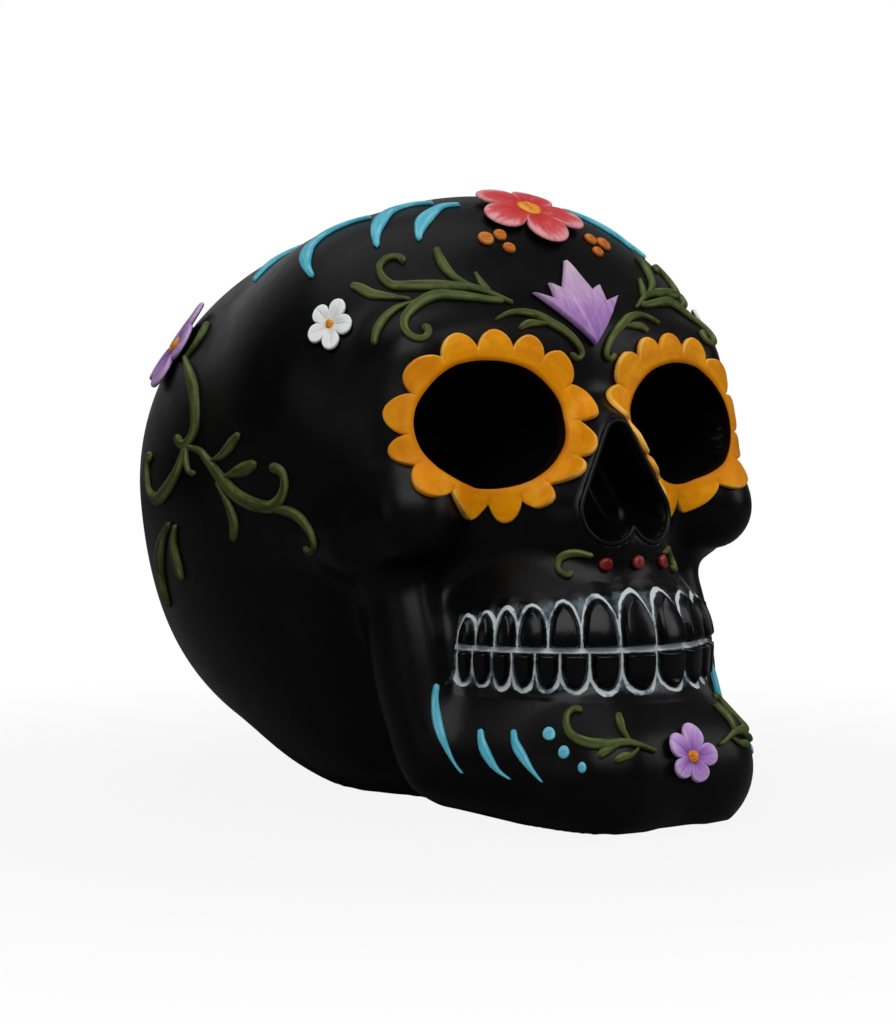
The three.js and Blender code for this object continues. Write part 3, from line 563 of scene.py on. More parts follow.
teethBand = {
    "upper": (15, 29, 40.5, 51, 59, 66, 73), "upperTall": (12.8, 7.2), "upperArch": (3.4, 0.56),
    "lower": (14.5, 26.3, 36.5, 45, 53, 60, 67.3, 72.8), "lowerTall": (9.5, 8.2), "lowerArch": (3.8, 0.5),
    "bulge": 2.2, "groove": 0.12, "columns": 640, "rows": 120, "backStep": 4,
    "reach": 78.0, "below": 14.5, "above": 17.0,
    "line": 0.65, "upperGumLine": 0.2, "lowerGumLine": 0.35, "biteLine": 0.62, "start": 52.0, "deep": 6.0,
    "fill": 0.93, "belly": 0.03, "upperRoot": 1.6, "lowerRoot": 0.4, "gumStart": 1.22, "gumWidth": 2.2,
    "endDepth": 3.0, "endFade": (73.5, 77.5),
}


def toothRow(angle, rise, ends, tall):
    # the tooth that an angle falls on: the share across it, the share up it, half its width and its height
    ends = np.array((0,) + ends, float)
    which = np.clip(np.searchsorted(ends, angle, side="right") - 1, 0, len(ends) - 2)
    start, end = ends[which], ends[which + 1]
    middleTurn = np.radians((start + end) / 2)
    height = tall[0] + (tall[1] - tall[0]) * which / (len(ends) - 2)
    half = np.radians(end - start) / 2 * np.hypot(dentalArch["halfWidth"] * np.cos(middleTurn),
                                                  dentalArch["depth"] * np.sin(middleTurn))
    return (2 * angle - start - end) / (end - start), rise / height, half, height


def toothInside(across, up, half, tall, upper):
    # millimetres inside a tooth's outline, whose half width falls as a power of the share up: the least
    # gap to points set along the outline, more of them near its top
    spec = teethBand
    law = [np.where(upper, first, second) for first, second in zip(spec["upperArch"], spec["lowerArch"])]

    def outline(share):
        swell = spec["fill"] + spec["belly"] * np.sin(np.pi * share)
        return half * (1 - share ** law[0]) ** law[1] * swell

    aside, height = np.abs(across) * half, up * tall
    gap = np.full_like(height, 99.0)
    for share in 1 - np.linspace(1, 0, 48) ** 2:
        gap = np.minimum(gap, np.hypot(aside - outline(share), height - share * tall))
    return np.where((up < 1) & (aside < outline(np.clip(up, 0, 1))), gap, -gap)


def teethSheet():
    # rays out from the arch's middle meet the skin, and the sheet stands off it: teeth swell inside their
    # outlines, grooves run round them and along the bite, and the band's edges dive under the skin
    spec, arch = teethBand, dentalArch
    angle = np.linspace(0, spec["reach"], spec["columns"] // 2)[None, :]
    height = np.linspace(-spec["below"], spec["above"], spec["rows"])[:, None]
    upper = height >= 0
    rows = [toothRow(angle, np.abs(height), spec[row], spec[row + "Tall"]) for row in ("upper", "lower")]
    across, up, half, tall = [np.where(upper, first, second) for first, second in zip(*rows)]
    inside = toothInside(across, up, half, tall, upper)
    swell = smoothStep(inside, -0.25, 1.5) * (1 - 0.3 * np.clip(up, 0, 1) ** 2) * (1 - 0.2 * across ** 2)
    swell = swell * smoothStep(np.abs(height), 0.1, 1.4)
    root = np.exp(-((across / 0.6) ** 2)) * np.clip(1.4 - up, 0, 0.4) * smoothStep(up, 0.7, 1.0)
    rootRise = np.where(upper, spec["upperRoot"], spec["lowerRoot"])
    offset = spec["groove"] + spec["bulge"] * swell + rootRise * root
    ends = [(*spec[row + "Tall"], spec[row][-1]) for row in ("upper", "lower")]
    gumLine = [first + (last - first) * angle / reach for first, last, reach in ends]
    beyond = np.abs(height) - spec["gumStart"] * np.where(upper, *gumLine)
    offset = offset - 0.16 * np.clip(beyond, 0, None) - 0.9 * np.clip(beyond - spec["gumWidth"], 0, None)
    offset = offset - spec["endDepth"] * smoothStep(angle, *spec["endFade"])
    turn = np.radians(angle)
    level = arch["bite"] + height + 0 * angle
    ray = np.stack([arch["halfWidth"] * np.sin(turn), -arch["depth"] * np.cos(turn), 0 * turn], -1)
    ray = ray / np.linalg.norm(ray, axis=-1, keepdims=True) * np.ones_like(level)[..., None]
    skin = skinAlong(np.stack([0 * level, arch["back"] + 0 * level, level], -1), ray, spec["start"], 40)
    normal = np.stack([np.sin(turn) / arch["halfWidth"], -np.cos(turn) / arch["depth"], 0 * turn], -1)
    normal = normal / np.linalg.norm(normal, axis=-1, keepdims=True)
    front = skin + offset[..., None] * normal
    back = (front - spec["deep"] * normal)[::-spec["backStep"]]
    band = np.concatenate([front, back])
    atGum = np.where(upper, spec["upperGumLine"], spec["lowerGumLine"])
    thick = spec["line"] + atGum * smoothStep(up, 0.65, 1.0)
    bite = np.abs(height) / spec["biteLine"] + 0 * angle
    marks = {"line": -inside / thick, "bite": bite, "gum": (1 - up) * tall}
    marks = {name: np.concatenate([values, values[::-spec["backStep"]]]) for name, values in marks.items()}
    other = band[:, :0:-1] * np.array([-1, 1, 1])
    marks = {name: np.concatenate([values[:, :0:-1], values], 1) for name, values in marks.items()}
    return closeBand(np.concatenate([other, band], 1), marks)


def closeBand(grid, marks):
    # a band folded back on itself: the last row joins the first, and both ends are closed
    turned = np.swapaxes(grid, 0, 1)
    return sheet(turned, around=True, capStart=True, capEnd=True,
                 **{name: np.swapaxes(values, 0, 1) for name, values in marks.items()})


def toothFinish():
    # glossy black teeth: a white painted line round each one and along the bite, and a thin bluish wash
    # that was wiped into the hollows between them
    finish = blackResin("tooth_resin", 0.2, 0.19)
    place = finish.place()
    ragged = finish.span(finish.noise(place, 520, 4, 0.65), 0.25, 0.75, -0.16, 0.16)
    line = finish.plus(finish.mark("line"), ragged)
    uneven = finish.span(finish.noise(place, 150, 2), 0.3, 0.7, -0.2, 0.45)
    outer = finish.span(finish.plus(line, uneven), 0.85, 1.2, 1.0, 0.0)
    thin = finish.span(finish.noise(place, 210, 3, 0.6), 0.32, 0.5, 0.45, 1.0)
    drawn = finish.times(finish.times(finish.span(line, -0.35, 0.0), outer), thin)
    bite = finish.span(finish.plus(finish.mark("bite"), ragged), 0.75, 1.2, 1.0, 0.0)
    smear = finish.span(finish.noise(place, 330, 5, 0.75), 0.4, 0.68, 0.03, 0.46)
    wash = finish.times(smear, finish.span(line, -0.9, 0.4))
    wash = finish.times(wash, finish.span(finish.mark("gum"), -0.6, 0.6))
    paint = finish.maths("MAXIMUM", finish.maths("MAXIMUM", drawn, bite), wash)
    thickness = finish.span(paint, 0.35, 0.9)
    white = finish.mix(thickness, paintColour(120, 150, 166), paintColour(204, 211, 215))
    black = finish.shader.inputs["Base Color"].links[0].from_socket
    finish.colour(finish.mix(paint, black, white))
    sheen = finish.span(finish.mark("gum"), -1.6, 0.0, 0.3, 0.2)
    finish.roughness(finish.plus(sheen, finish.times(paint, 0.3)))
    return finish.material


makePiece("teeth_rows", [teethSheet()], toothFinish(), ["skull_casting"])
print("teeth set")

# Eye rings

eyeRing = {
    "tips": ((11, 6.0), (47, 7.6), (73, 8.7), (94, 8.8), (113, 9.4), (131, 9.6), (160, 7.8), (189, 3.2),
             (219, 2.9), (248, 6.0), (262, 8.2), (281, 7.3), (321, 8.7), (341, 6.6)),
    "notches": ((28, 2.7), (60, 4.5), (83, 4.0), (104, 4.6), (123, 5.4), (148, 5.2), (175, 2.4), (206, 1.3),
                (235, 2.0), (253, 3.6), (271, 3.3), (305, 3.5), (332, 4.2), (355, 2.5)),
    "height": 1.4, "edgeRound": 0.5, "lipRound": 1.2, "lipRoll": (3.0, 1.8, 0.9, 0.36, 0.09), "steps": 800,
    "gap": 0.15, "skirt": 0.8, "groove": 0.35, "midlineGap": 0.2,
}


def ringOutline(turn):
    # notches and tips in turn round the ring; between them the edge follows a sine swept to a round tip
    tips, notches = np.array(eyeRing["tips"], float), np.array(eyeRing["notches"], float)
    angles = np.concatenate([notches[-1:, 0] - 360, np.column_stack([tips[:, 0], notches[:, 0]]).ravel()])
    phases = np.arange(len(angles)) / 2
    angle = np.where(turn > notches[-1, 0], turn - 360, turn)
    phase = np.interp(angle, angles, phases)
    tip = tips[np.minimum(phase.astype(int), len(tips) - 1), 1]
    level = np.interp(angle, np.concatenate([notches[-1:, 0] - 360, notches[:, 0]]),
                      np.concatenate([notches[-1:, 1], notches[:, 1]]))
    point = 0.62 + 0.3 * smoothStep(np.abs(turn - 285), 75, 25)
    lobe = np.sin(np.pi * (phase % 1)) ** point
    return level + (tip - level) * lobe, lobe


def ringSheet(side):
    # a band round the socket: its inner lip rolls back into the socket, its face is flat with a groove
    # between petals, and its scalloped rim is rounded down on to the skin; widths are measured along the
    # skin, because the ring climbs the side of the nose
    spec = eyeRing
    turn = np.linspace(0, 360, spec["steps"], endpoint=False)[None, :]
    outer, lobe = ringOutline(turn)
    inner = socketEdge(turn)
    roll = len(spec["lipRoll"])
    face = 1 - np.cos(np.linspace(0, np.pi / 2, 30)) ** 1.3
    share = np.concatenate([np.zeros(roll), face, np.ones(1)])[:, None]
    beyond = inner + (outer - inner) * share
    angle = np.radians(turn)
    x = eyeSocket["centre"][0] + (eyeSocket["radii"][0] + beyond) * np.cos(angle)
    lean = np.cos(np.radians(eyeSocket["lean"]))
    z = eyeSocket["centre"][1] + (eyeSocket["radii"][1] + beyond) * np.sin(angle) * lean
    foot = faceSkin(side * x, z)
    normal = skinNormal(foot)
    gone = np.cumsum(np.linalg.norm(np.diff(foot, axis=0, prepend=foot[:1]), axis=-1), 0)
    inEdge = np.clip(gone / spec["lipRound"], 0, 1)
    outEdge = np.clip((gone[-1:] - gone) / spec["edgeRound"], 0, 1)
    rise = np.sqrt(1 - 0.4 * (1 - inEdge) ** 2) * np.sqrt(1 - (1 - outEdge) ** 2)
    groove = spec["groove"] * (1 - lobe) ** 3 * smoothStep(share, 0.3, 0.9)
    lift = (spec["height"] - groove) * rise + spec["gap"]
    lift[-1] = -spec["skirt"]
    grid = foot + normal * lift[..., None]
    back = np.zeros_like(share)
    back[:roll, 0] = spec["lipRoll"]
    grid[..., 1] += back
    grid[..., 0] = side * np.maximum(side * grid[..., 0], spec["midlineGap"])
    rise[-1] = 0
    shoulder = smoothStep(outEdge, 0.0, 0.5) * (1 - smoothStep(outEdge, 0.6, 1.0))
    # painted shade mask for the finish: 1 at the socket edge, 0 two millimetres out, and more on the
    # rolled-back lip
    lip = np.clip(1 - gone / 2.0, 0, 1) + back
    grain = np.stack([gone, angle * 17 + 0 * gone, lift], -1)
    return sheet(grid, around=True, rise=rise, shoulder=shoulder, inner=lip, grain=grain)


def ringFinish():
    # yellow-orange paint with a thin pale rubbed rim; painted shade darkens it towards the socket, on the
    # rolled-back lip and at its foot
    finish = Finish("yellow_paint", 0.46, 0.12)
    streak = finish.noise(finish.grain((0.5, 0.16, 0.5)), 1.0, 4, 0.6)
    blotch = finish.noise(finish.place(), 120, 4)
    cloud = finish.noise(finish.place(), 55, 3)
    inner = finish.mark("inner")
    rubbed = finish.times(finish.mark("shoulder"), finish.span(blotch, 0.36, 0.6, 0.1, 0.75))
    colour = finish.mix(finish.span(streak, 0.3, 0.7), paintColour(228, 138, 0), paintColour(242, 156, 2))
    colour = finish.mix(finish.span(blotch, 0.5, 0.7, 0.0, 0.6), colour, paintColour(252, 182, 18))
    colour = finish.mix(finish.span(cloud, 0.45, 0.7, 0.0, 0.5), colour, paintColour(208, 118, 0))
    # painted shade: deeper orange towards the socket
    colour = finish.mix(finish.span(inner, 0.3, 0.95, 0.0, 0.55), colour, paintColour(186, 96, 1))
    colour = finish.mix(rubbed, colour, paintColour(248, 214, 128))
    # painted shade: dark brown at the foot of the scalloped rim
    colour = finish.mix(finish.span(finish.mark("rise"), 0.0, 0.3), paintColour(50, 26, 1), colour)
    # painted shade: near black on the lip that rolls back into the socket
    finish.colour(finish.mix(finish.span(inner, 1.0, 1.5), colour, paintColour(22, 11, 2)))
    finish.roughness(finish.span(streak, 0.3, 0.7, 0.52, 0.4))
    finish.relief(finish.plus(streak, finish.times(blotch, 0.6)), 0.2, 0.0002)
    return finish.material


sides = {"right": -1, "left": 1}
yellowFinish = ringFinish()
for sideName, side in sides.items():
    makePiece("eye_ring_look_" + sideName, [ringSheet(side)], yellowFinish,
              ["eye_ring_" + sideName])
print("eye rings fitted")

# Vines, leaves and brush strokes: beads carried along curves on the skin

strokeShapes = {
    "stem": {"start": 0.35, "peak": 0.45, "end": 0.5, "bulb": 0.15},
    "curl": {"start": 0.6, "peak": 0.4, "end": 0.5, "bulb": 0.3},
    "leaf": {"start": 0.3, "peak": 0.7, "end": 0.72, "bulb": 0.0},
    "point": {"start": 0.8, "peak": 0.3, "end": 0.35, "bulb": 0.0},
    "brush": {"start": 0.25, "peak": 0.6, "end": 0.4, "bulb": 0.0},
    "tail": {"start": 0.6, "peak": 0.4, "end": 0.15, "bulb": 0.0},
}
bead = {"stepLength": 0.45, "across": 15, "bed": 0.5, "gap": 0.3}


def smoothPath(knots, stepLength):
    # a cubic through the knots with slopes from their neighbours, stepped evenly along its length
    times = np.concatenate([[0], np.cumsum(np.linalg.norm(np.diff(knots, axis=0), axis=1) ** 0.5)])
    slopes = np.gradient(knots, times, axis=0)
    fine = np.linspace(0, times[-1], 60 * len(knots))
    span = np.clip(np.searchsorted(times, fine, side="right") - 1, 0, len(knots) - 2)
    length = times[span + 1] - times[span]
    t = ((fine - times[span]) / length)[:, None]
    length = length[:, None]
    curve = ((1 + 2 * t) * (1 - t) ** 2 * knots[span] + t * (1 - t) ** 2 * length * slopes[span]
             + t * t * (3 - 2 * t) * knots[span + 1] + t * t * (t - 1) * length * slopes[span + 1])
    gone = np.concatenate([[0], np.cumsum(np.linalg.norm(np.diff(curve, axis=0), axis=1))])
    count = max(12, int(gone[-1] / stepLength))
    even = np.linspace(0, gone[-1], count)
    return np.stack([np.interp(even, gone, axis) for axis in curve.T], -1), even


def strokeSheet(places, side, width, height, shape, flat=2.4):
    # a bead with a domed top: half its width grows to the peak and thins to the end, both ends rounded
    path, gone = smoothPath(onSkin(places, side), bead["stepLength"])
    path = settle(path)
    normal = skinNormal(path)
    ahead = np.gradient(path, axis=0)
    across = np.cross(ahead / np.linalg.norm(ahead, axis=-1, keepdims=True), normal)
    across = across / np.linalg.norm(across, axis=-1, keepdims=True)
    law, t = strokeShapes[shape], gone / gone[-1]
    share = np.where(t < law["peak"], law["start"] + (1 - law["start"]) * smoothStep(t, 0, law["peak"]),
                     1 + (law["end"] - 1) * smoothStep(t, law["peak"], 1))
    share = share + law["bulb"] * np.exp(-((gone[-1] - gone - 0.5 * width) / (0.5 * width)) ** 2)
    ends = np.minimum(gone, gone[-1] - gone)
    tipLength = np.where(t < 0.5, law["start"], law["end"]) * width * 0.7
    tip = np.sqrt(np.clip(1 - (1 - np.clip(ends / tipLength, 0, 1)) ** 2, 0, 1)) * 0.97 + 0.03
    half = width * share * tip / 2
    tall = (bead["gap"] + height * (0.6 + 0.4 * share)) * tip ** 0.6
    place = np.cos(np.linspace(np.pi, 0, bead["across"]))
    dome = (1 - np.abs(place) ** flat) ** 0.5
    lift = np.concatenate([dome[None, :] * tall[:, None], np.full((len(path), 2), -bead["bed"])], 1)
    place = np.concatenate([place, [0.8, -0.8]])
    grid = path[:, None] + (half[:, None] * place)[..., None] * across[:, None]
    grid = settle(grid, 10) + lift[..., None] * normal[:, None]
    rise = np.concatenate([dome, [0, 0]])[None, :] * np.ones_like(half)[:, None]
    shoulder = np.exp(-((np.abs(place) - 0.62) / 0.2) ** 2) * np.ones_like(rise)
    grain = np.stack([gone[:, None] + 0 * lift, half[:, None] * place, lift], -1) + 7.3 * len(places)
    return sheet(grid, around=True, capStart=True, capEnd=True, rise=rise, shoulder=shoulder, grain=grain)


vineWidths = {"longLeaf": 6.2, "shortLeaf": 4.2, "narrow": 2.9, "wide": 4.2, "fine": 2.4, "chin": 2.7,
              "lip": 2.2}
vineHeight = {"first": 1.25, "less": 0.07}
templeVine = (
    ("stem", 1, ((23.3, 51.9), (32.8, 53.6), (40.8, 53.1), (52.1, 51.3), (55.8, 50.8), (58.5, 51.7),
                 (60.4, 53.6), (59.5, 55.6), (57.4, 56.4), (55.3, 56.2), (54.9, 55.3))),
    ("curl", 1, ((26, 52.2), (30.4, 51.9), (38.7, 51.5), (44.2, 50.8), (48.1, 48.8), (50, 46.3),
                 (50.6, 43.5), (49.9, 41.5), (48.2, 40.3), (46.4, 40.4), (45.2, 41.7), (45.7, 42.7),
                 (46.7, 42.5))),
    ("leaf", 0.95, ((32, 53.4), (39.7, 54.7), (42.9, 56.3), (45.6, 58.8), (46.2, 60.1))),
    ("point", 0.75, ((30, 53), (32.7, 55.1), (34.4, 56.8))),
    ("leaf", 1, ((50.5, 48.9), (57.3, 48.6), (60.3, 48.5), (63.6, 49.2), (66, 49.3))),
    ("leaf", 0.85, ((48.6, 49), (53.6, 46.4), (55.7, 43.9), (56.4, 41.7), (56.3, 38.9))),
)
lotusSprig = (
    ("stem", 1, ((29.3, 47.7), (25.8, 49.5), (22, 50.3), (16.9, 50.1), (13.3, 49.1), (9.3, 47.8),
                 (6.3, 46.3), (4.6, 45), (4.2, 44.1), (5.2, 43.5), (6.4, 43.6), (7.6, 44.4))),
    ("leaf", 0.85, ((12, 48.6), (15.9, 48.6), (20.2, 48.2), (22.8, 47))),
)
backVine = (
    ("stem", 1, ((123, 34.6), (115.6, 32.5), (110.7, 29.8), (108.3, 26.7), (107.5, 23.8), (109, 21.4),
                 (111, 20.5), (112.9, 21.2), (113.6, 22))),
    ("leaf", 0.75, ((122, 34.6), (120.8, 37.3), (121.4, 39.7), (123.8, 41.4))),
    ("curl", 0.95, ((109.4, 20.6), (111.8, 15.8), (115.7, 12.1), (120.6, 9.7), (124.6, 10.8), (126.1, 13.8),
                    (125.9, 15.9), (124.2, 17))),
    ("curl", 0.45, ((109.2, 20.4), (108.8, 17.7), (107.5, 16), (105.7, 16))),
    ("stem", 1, ((109.6, 20.4), (104.4, 20.1), (100.6, 18.3), (96.5, 15.8), (92, 13.2), (86.6, 11.6),
                 (81.9, 11.4), (78.4, 13.3), (76.6, 15.9), (76.9, 17.8), (78.6, 18.4), (80, 18.2))),
    ("curl", 0.7, ((85, 11.4), (82, 11.2), (76.4, 10.4), (72.9, 8.6), (70.3, 6.2), (69.6, 4.1), (71.8, 2.6),
                   (74.3, 3.2))),
    ("leaf", 0.75, ((101, 18.5), (95.2, 20.3), (91.6, 22.1), (88.3, 23.8))),
    ("leaf", 0.85, ((96.4, 16), (90.1, 17.4), (85.7, 18.4), (83.6, 19))),
    ("leaf", 0.8, ((98.6, 15.2), (95.4, 11.3), (94.5, 7.7), (96.2, 3.5))),
)
backLeaves = {
    "long": ((116.1, 5.8), (121.7, 1.4), (125.9, -3.8), (127.5, -11)),
    "short": ((113.6, 5.7), (115.7, 2.2), (116, -1.4), (115.6, -5.4)),
}
lipCurl = (("curl", 1, ((9.3, 1.9), (12.7, 2.5), (15.4, 1.3), (16.2, -1.4), (14.6, -2.3), (13.9, -1.2))),)
chinVine = (
    ("stem", 1, ((6.4, -25.8), (10.9, -24.8), (14.5, -25.3), (17, -25.8), (18.6, -25.9), (18.9, -25.4),
                 (18.2, -24.5), (16.9, -23.8), (15.8, -23.6))),
    ("leaf", 0.75, ((10.4, -25.1), (11.2, -24), (11, -23.2), (10.6, -22.8))),
    ("leaf", 0.8, ((12.2, -25), (13.4, -25.4), (14.9, -26), (15.9, -26.7))),
    ("leaf", 0.8, ((9.5, -25.2), (10.9, -25.8), (12.4, -26.1), (13.8, -26.6))),
)
crownStrokes = (
    ((40.5, 74.1), (49, 72.7), (52.5, 69.4), (53.8, 66.3), (53.4, 63.5), (52.4, 61.1)),
    ((56, 74.2), (67.5, 73.2), (72.6, 70.6), (71.8, 67.2), (69.7, 64.3), (67.3, 61.4), (63.9, 58)),
    ((78, 67), (86, 65), (91, 61.5), (90, 57.8), (86, 54.9), (81.5, 52.3), (77.2, 50.2)),
    ((132, 62), (126, 56.5), (118, 51.5)),
)
jawStrokes = (
    ((43.1, -23.9), (43.3, -26.5), (42.4, -29.7), (40.5, -32.4), (38.6, -34.3), (37.1, -35.3)),
    ((33.7, -29.4), (33.4, -30.9), (32.3, -32.2), (30.6, -33.4), (28.3, -34)),
    ((27.5, -28.2), (27.4, -29.5), (26.3, -30.6), (24.9, -31.6), (23.3, -32.4)),
)
brushStroke = {"crown": 4.0, "jaw": 2.4, "height": 0.9, "flat": 5.0}
vines = {"temple_vine": (templeVine, "narrow"), "lotus_sprig": (lotusSprig, "fine"),
         "back_vine": (backVine, "wide"), "chin_vine": (chinVine, "chin"), "lip_curl": (lipCurl, "lip")}


def vineSheets(parts, side, width):
    # a bead for each part of a vine, each a little lower than the one before, so that they overlap cleanly
    first, less = vineHeight["first"], vineHeight["less"]
    return [strokeSheet(places, side, width * scale, first - less * index, shape)
            for index, (shape, scale, places) in enumerate(parts)]


for sideName, side in sides.items():
    for name, (parts, width) in vines.items():
        makePiece(f"{name}_look_{sideName}", vineSheets(parts, side, vineWidths[width]), oliveFinish,
                  [f"{name}_{sideName}"])
    for name, places in backLeaves.items():
        leaf = strokeSheet(places, side, vineWidths[name + "Leaf"], vineHeight["first"], "leaf")
        makePiece(f"back_leaf_{name}_look_{sideName}", [leaf], oliveFinish,
                  [f"back_leaf_{name}_{sideName}"])
    for kind, strokes, shape in (("crown", crownStrokes, "brush"), ("jaw", jawStrokes, "tail")):
        for number, places in enumerate(strokes, 1):
            stroke = strokeSheet(places, side, brushStroke[kind], brushStroke["height"], shape,
                                 brushStroke["flat"])
            makePiece(f"{kind}_stroke_{number}_look_{sideName}", [stroke], turquoiseFinish,
                      [f"{kind}_stroke_{number}_{sideName}"])
    print("vines and strokes laid,", sideName)

# Flowers

petalShape = {"under": 8, "edge": 6, "top": 20, "columns": 240, "count": 5, "power": 0.42, "rim": 0.95,
              "foot": (0.28, 0.36), "sunk": 0.6, "seat": 0.55, "crease": 0.5, "vein": 0.18}
flowers = {
    "crown_flower": {"place": (0, 73.4), "radius": 15.0, "squash": (1, 0.92), "turn": -90, "eye": 3.2,
                     "height": 1.9, "flat": 0.0, "thick": 1.0, "notch": 0.4, "curl": 0.3},
    "chin_flower": {"place": (0, -26.8), "radius": 6.9, "squash": (1, 1), "turn": 0, "eye": 1.5,
                    "height": 1.6, "flat": 0.3, "thick": 1.2, "notch": 0.44, "curl": 0.2},
    "white_flower": {"place": (67.3, 41.9), "radius": 6.7, "squash": (0.8, 1), "turn": 105, "eye": 1.15,
                     "height": 1.5, "flat": 0.4, "thick": 1.1, "notch": 0.4, "curl": 0.2},
    "back_flower": {"place": (134, 34.6), "radius": 13.2, "squash": (1, 1), "turn": 90, "eye": 2.4,
                    "height": 2.0, "flat": 0.5, "thick": 1.2, "notch": 0.42, "curl": 0.4},
}


def skinFrame(at):
    # normal, east and north of the skin at a place
    normal = skinNormal(at)
    east = np.array([middle[1] - at[1], at[0], 0])
    east = east / np.linalg.norm(east)
    east = east - normal * (east @ normal)
    east = east / np.linalg.norm(east)
    return normal, east, np.cross(normal, east)


def flowerSheets(spec, side):
    # five round petals: the reach is a power of a cosine round the eye; from a foot on the skin the sheet
    # runs out below the petals, round their rim and back in over the top, which dips to the eye
    at = onSkin(spec["place"], side)
    normal, east, north = skinFrame(at)
    law = petalShape
    turn = np.linspace(0, 2 * np.pi, law["columns"], endpoint=False)
    halfTurns = law["count"] / 2 * turn
    lobe = np.abs(np.cos(halfTurns)) ** law["power"]
    reach = spec["radius"] * (spec["notch"] + (1 - spec["notch"]) * lobe)
    bearing = turn + np.radians(spec["turn"])
    rim = np.linspace(-np.pi / 2, np.pi / 2, law["edge"] + 2)[1:-1]
    under = np.concatenate([law["foot"], np.linspace(0.45, law["rim"], law["under"])])
    top = np.linspace(law["rim"], 0.05, law["top"])
    share = np.concatenate([under, law["rim"] + (1 - law["rim"]) * np.cos(rim), top])
    level = np.concatenate([-np.ones(len(under)), np.sin(rim), np.ones(len(top))])
    wide, tall = spec["squash"]
    flatX = side * np.cos(bearing) * reach * wide
    flatY = np.sin(bearing) * reach * tall
    plane = at + share[:, None, None] * (flatX[None, :, None] * east + flatY[None, :, None] * north)
    foot = settle(plane, 24)
    lobes = lobe[None, :] * np.ones((len(share), 1))
    dish = smoothStep(share, 0.12, 0.75)[:, None]
    crease = (1 - lobes) ** 2 * smoothStep(share, 0.2, 0.6)[:, None]
    vein = np.exp(-((np.sin(halfTurns) / 0.16) ** 2))[None, :]
    vein = vein * np.sin(np.pi * np.clip(share, 0, 1))[:, None]
    dip = law["crease"] * crease + law["vein"] * vein
    lift = spec["height"] * (law["seat"] + (1 - law["seat"]) * dish) - dip
    lift = lift + spec["curl"] * np.sin(2 * turn + 1.0)[None, :] * (share ** 2)[:, None]
    lift = lift + spec["thick"] * (level[:, None] - 1) / 2 + bead["gap"]
    base = foot + spec["flat"] * (plane - foot)
    grid = base + lift[..., None] * normal
    onGround = (np.arange(len(share)) < len(law["foot"]))[:, None, None]
    grid = np.where(onGround, foot - law["sunk"] * normal, grid)
    rise = np.clip((level[:, None] + 1) / 2, 0, 1) * np.ones_like(lobes)
    petalReach = np.where(level > -0.99, share, 1.0)[:, None] * np.ones_like(lobes)
    grain = np.stack([share[:, None] * reach, 6 * np.cos(bearing)[None, :] + 0 * lobes,
                      6 * np.sin(bearing)[None, :] + 0 * lobes], -1)
    petals = sheet(grid, around=True, capStart=True, capEnd=True, rise=rise, reach=petalReach, grain=grain)
    eyeHeight = law["seat"] * spec["height"]
    seat = at + (bead["gap"] + eyeHeight) * normal
    return petals, eyeSheet(seat, normal, wide * east, north, spec["eye"], eyeHeight)


def eyeSheet(seat, normal, east, north, radius, height):
    # a low dome with a lumpy top, sunk a little into its seat
    turn = np.linspace(0, 2 * np.pi, 48, endpoint=False)
    slope = np.linspace(-0.35, np.pi / 2 * 0.96, 14)
    across = np.cos(slope)[:, None] * radius * (1 + 0.05 * np.sin(3 * turn + 0.7))[None, :]
    lumps = 1 + 0.12 * np.sin(5 * turn + 1.0)[None, :] * np.sin(2 * slope)[:, None]
    up = np.sin(slope)[:, None] * height * lumps
    grid = seat + (across * np.cos(turn))[..., None] * east + (across * np.sin(turn))[..., None] * north
    grid = grid + up[..., None] * normal
    rise = np.clip(np.sin(slope), 0, 1)[:, None] * np.ones_like(across)
    grain = np.stack([across, up, across * np.cos(turn)], -1)
    return sheet(grid, around=True, capStart=True, capEnd=True, rise=0.2 + 0.8 * rise,
                 shoulder=np.exp(-((rise - 0.5) / 0.3) ** 2), grain=grain)


# the colour after each flower's stops is the painted shade beneath its petals
flowerFinishes = {
    "crown_flower": ("red_paint", petalPaint(
        "red_paint", [(0.12, (192, 62, 36)), (0.4, (200, 44, 46)), (0.78, (208, 76, 80)),
                      (0.97, (230, 158, 162))], (14, 8, 8), (0.12, 1.1, 1.1))),
    "chin_flower": ("violet_paint", petalPaint(
        "violet_paint", [(0.15, (112, 62, 150)), (0.45, (160, 112, 192)), (0.75, (184, 140, 208)),
                         (0.98, (206, 172, 222))], (16, 10, 20), (0.2, 1.2, 1.2))),
    "white_flower": ("white_paint", petalPaint(
        "white_paint", [(0.2, (238, 226, 190)), (0.4, (230, 232, 232)), (0.75, (240, 243, 243)),
                        (0.98, (249, 250, 250))], (60, 60, 60), (0.2, 1.1, 1.1))),
}
flowerFinishes["back_flower"] = flowerFinishes["chin_flower"]
eyeFinish = brushPaint("flower_eye_paint", (206, 108, 14), (236, 152, 40), (250, 200, 96))

for name, spec in flowers.items():
    paired = spec["place"][0] > 0
    for sideName, side in sides.items() if paired else (("", 1),):
        tail = "_" + sideName if paired else ""
        petals, eye = flowerSheets(spec, side)
        slot, finish = flowerFinishes[name]
        makePiece(name + "_look" + tail, [petals], finish, [name + tail])
        eyeNode = name + tail + "_eye"
        makePiece(name + "_eye_look" + tail, [eye], eyeFinish, [eyeNode])
print("flowers fixed")

# Lotus: one low relief with five pointed petals

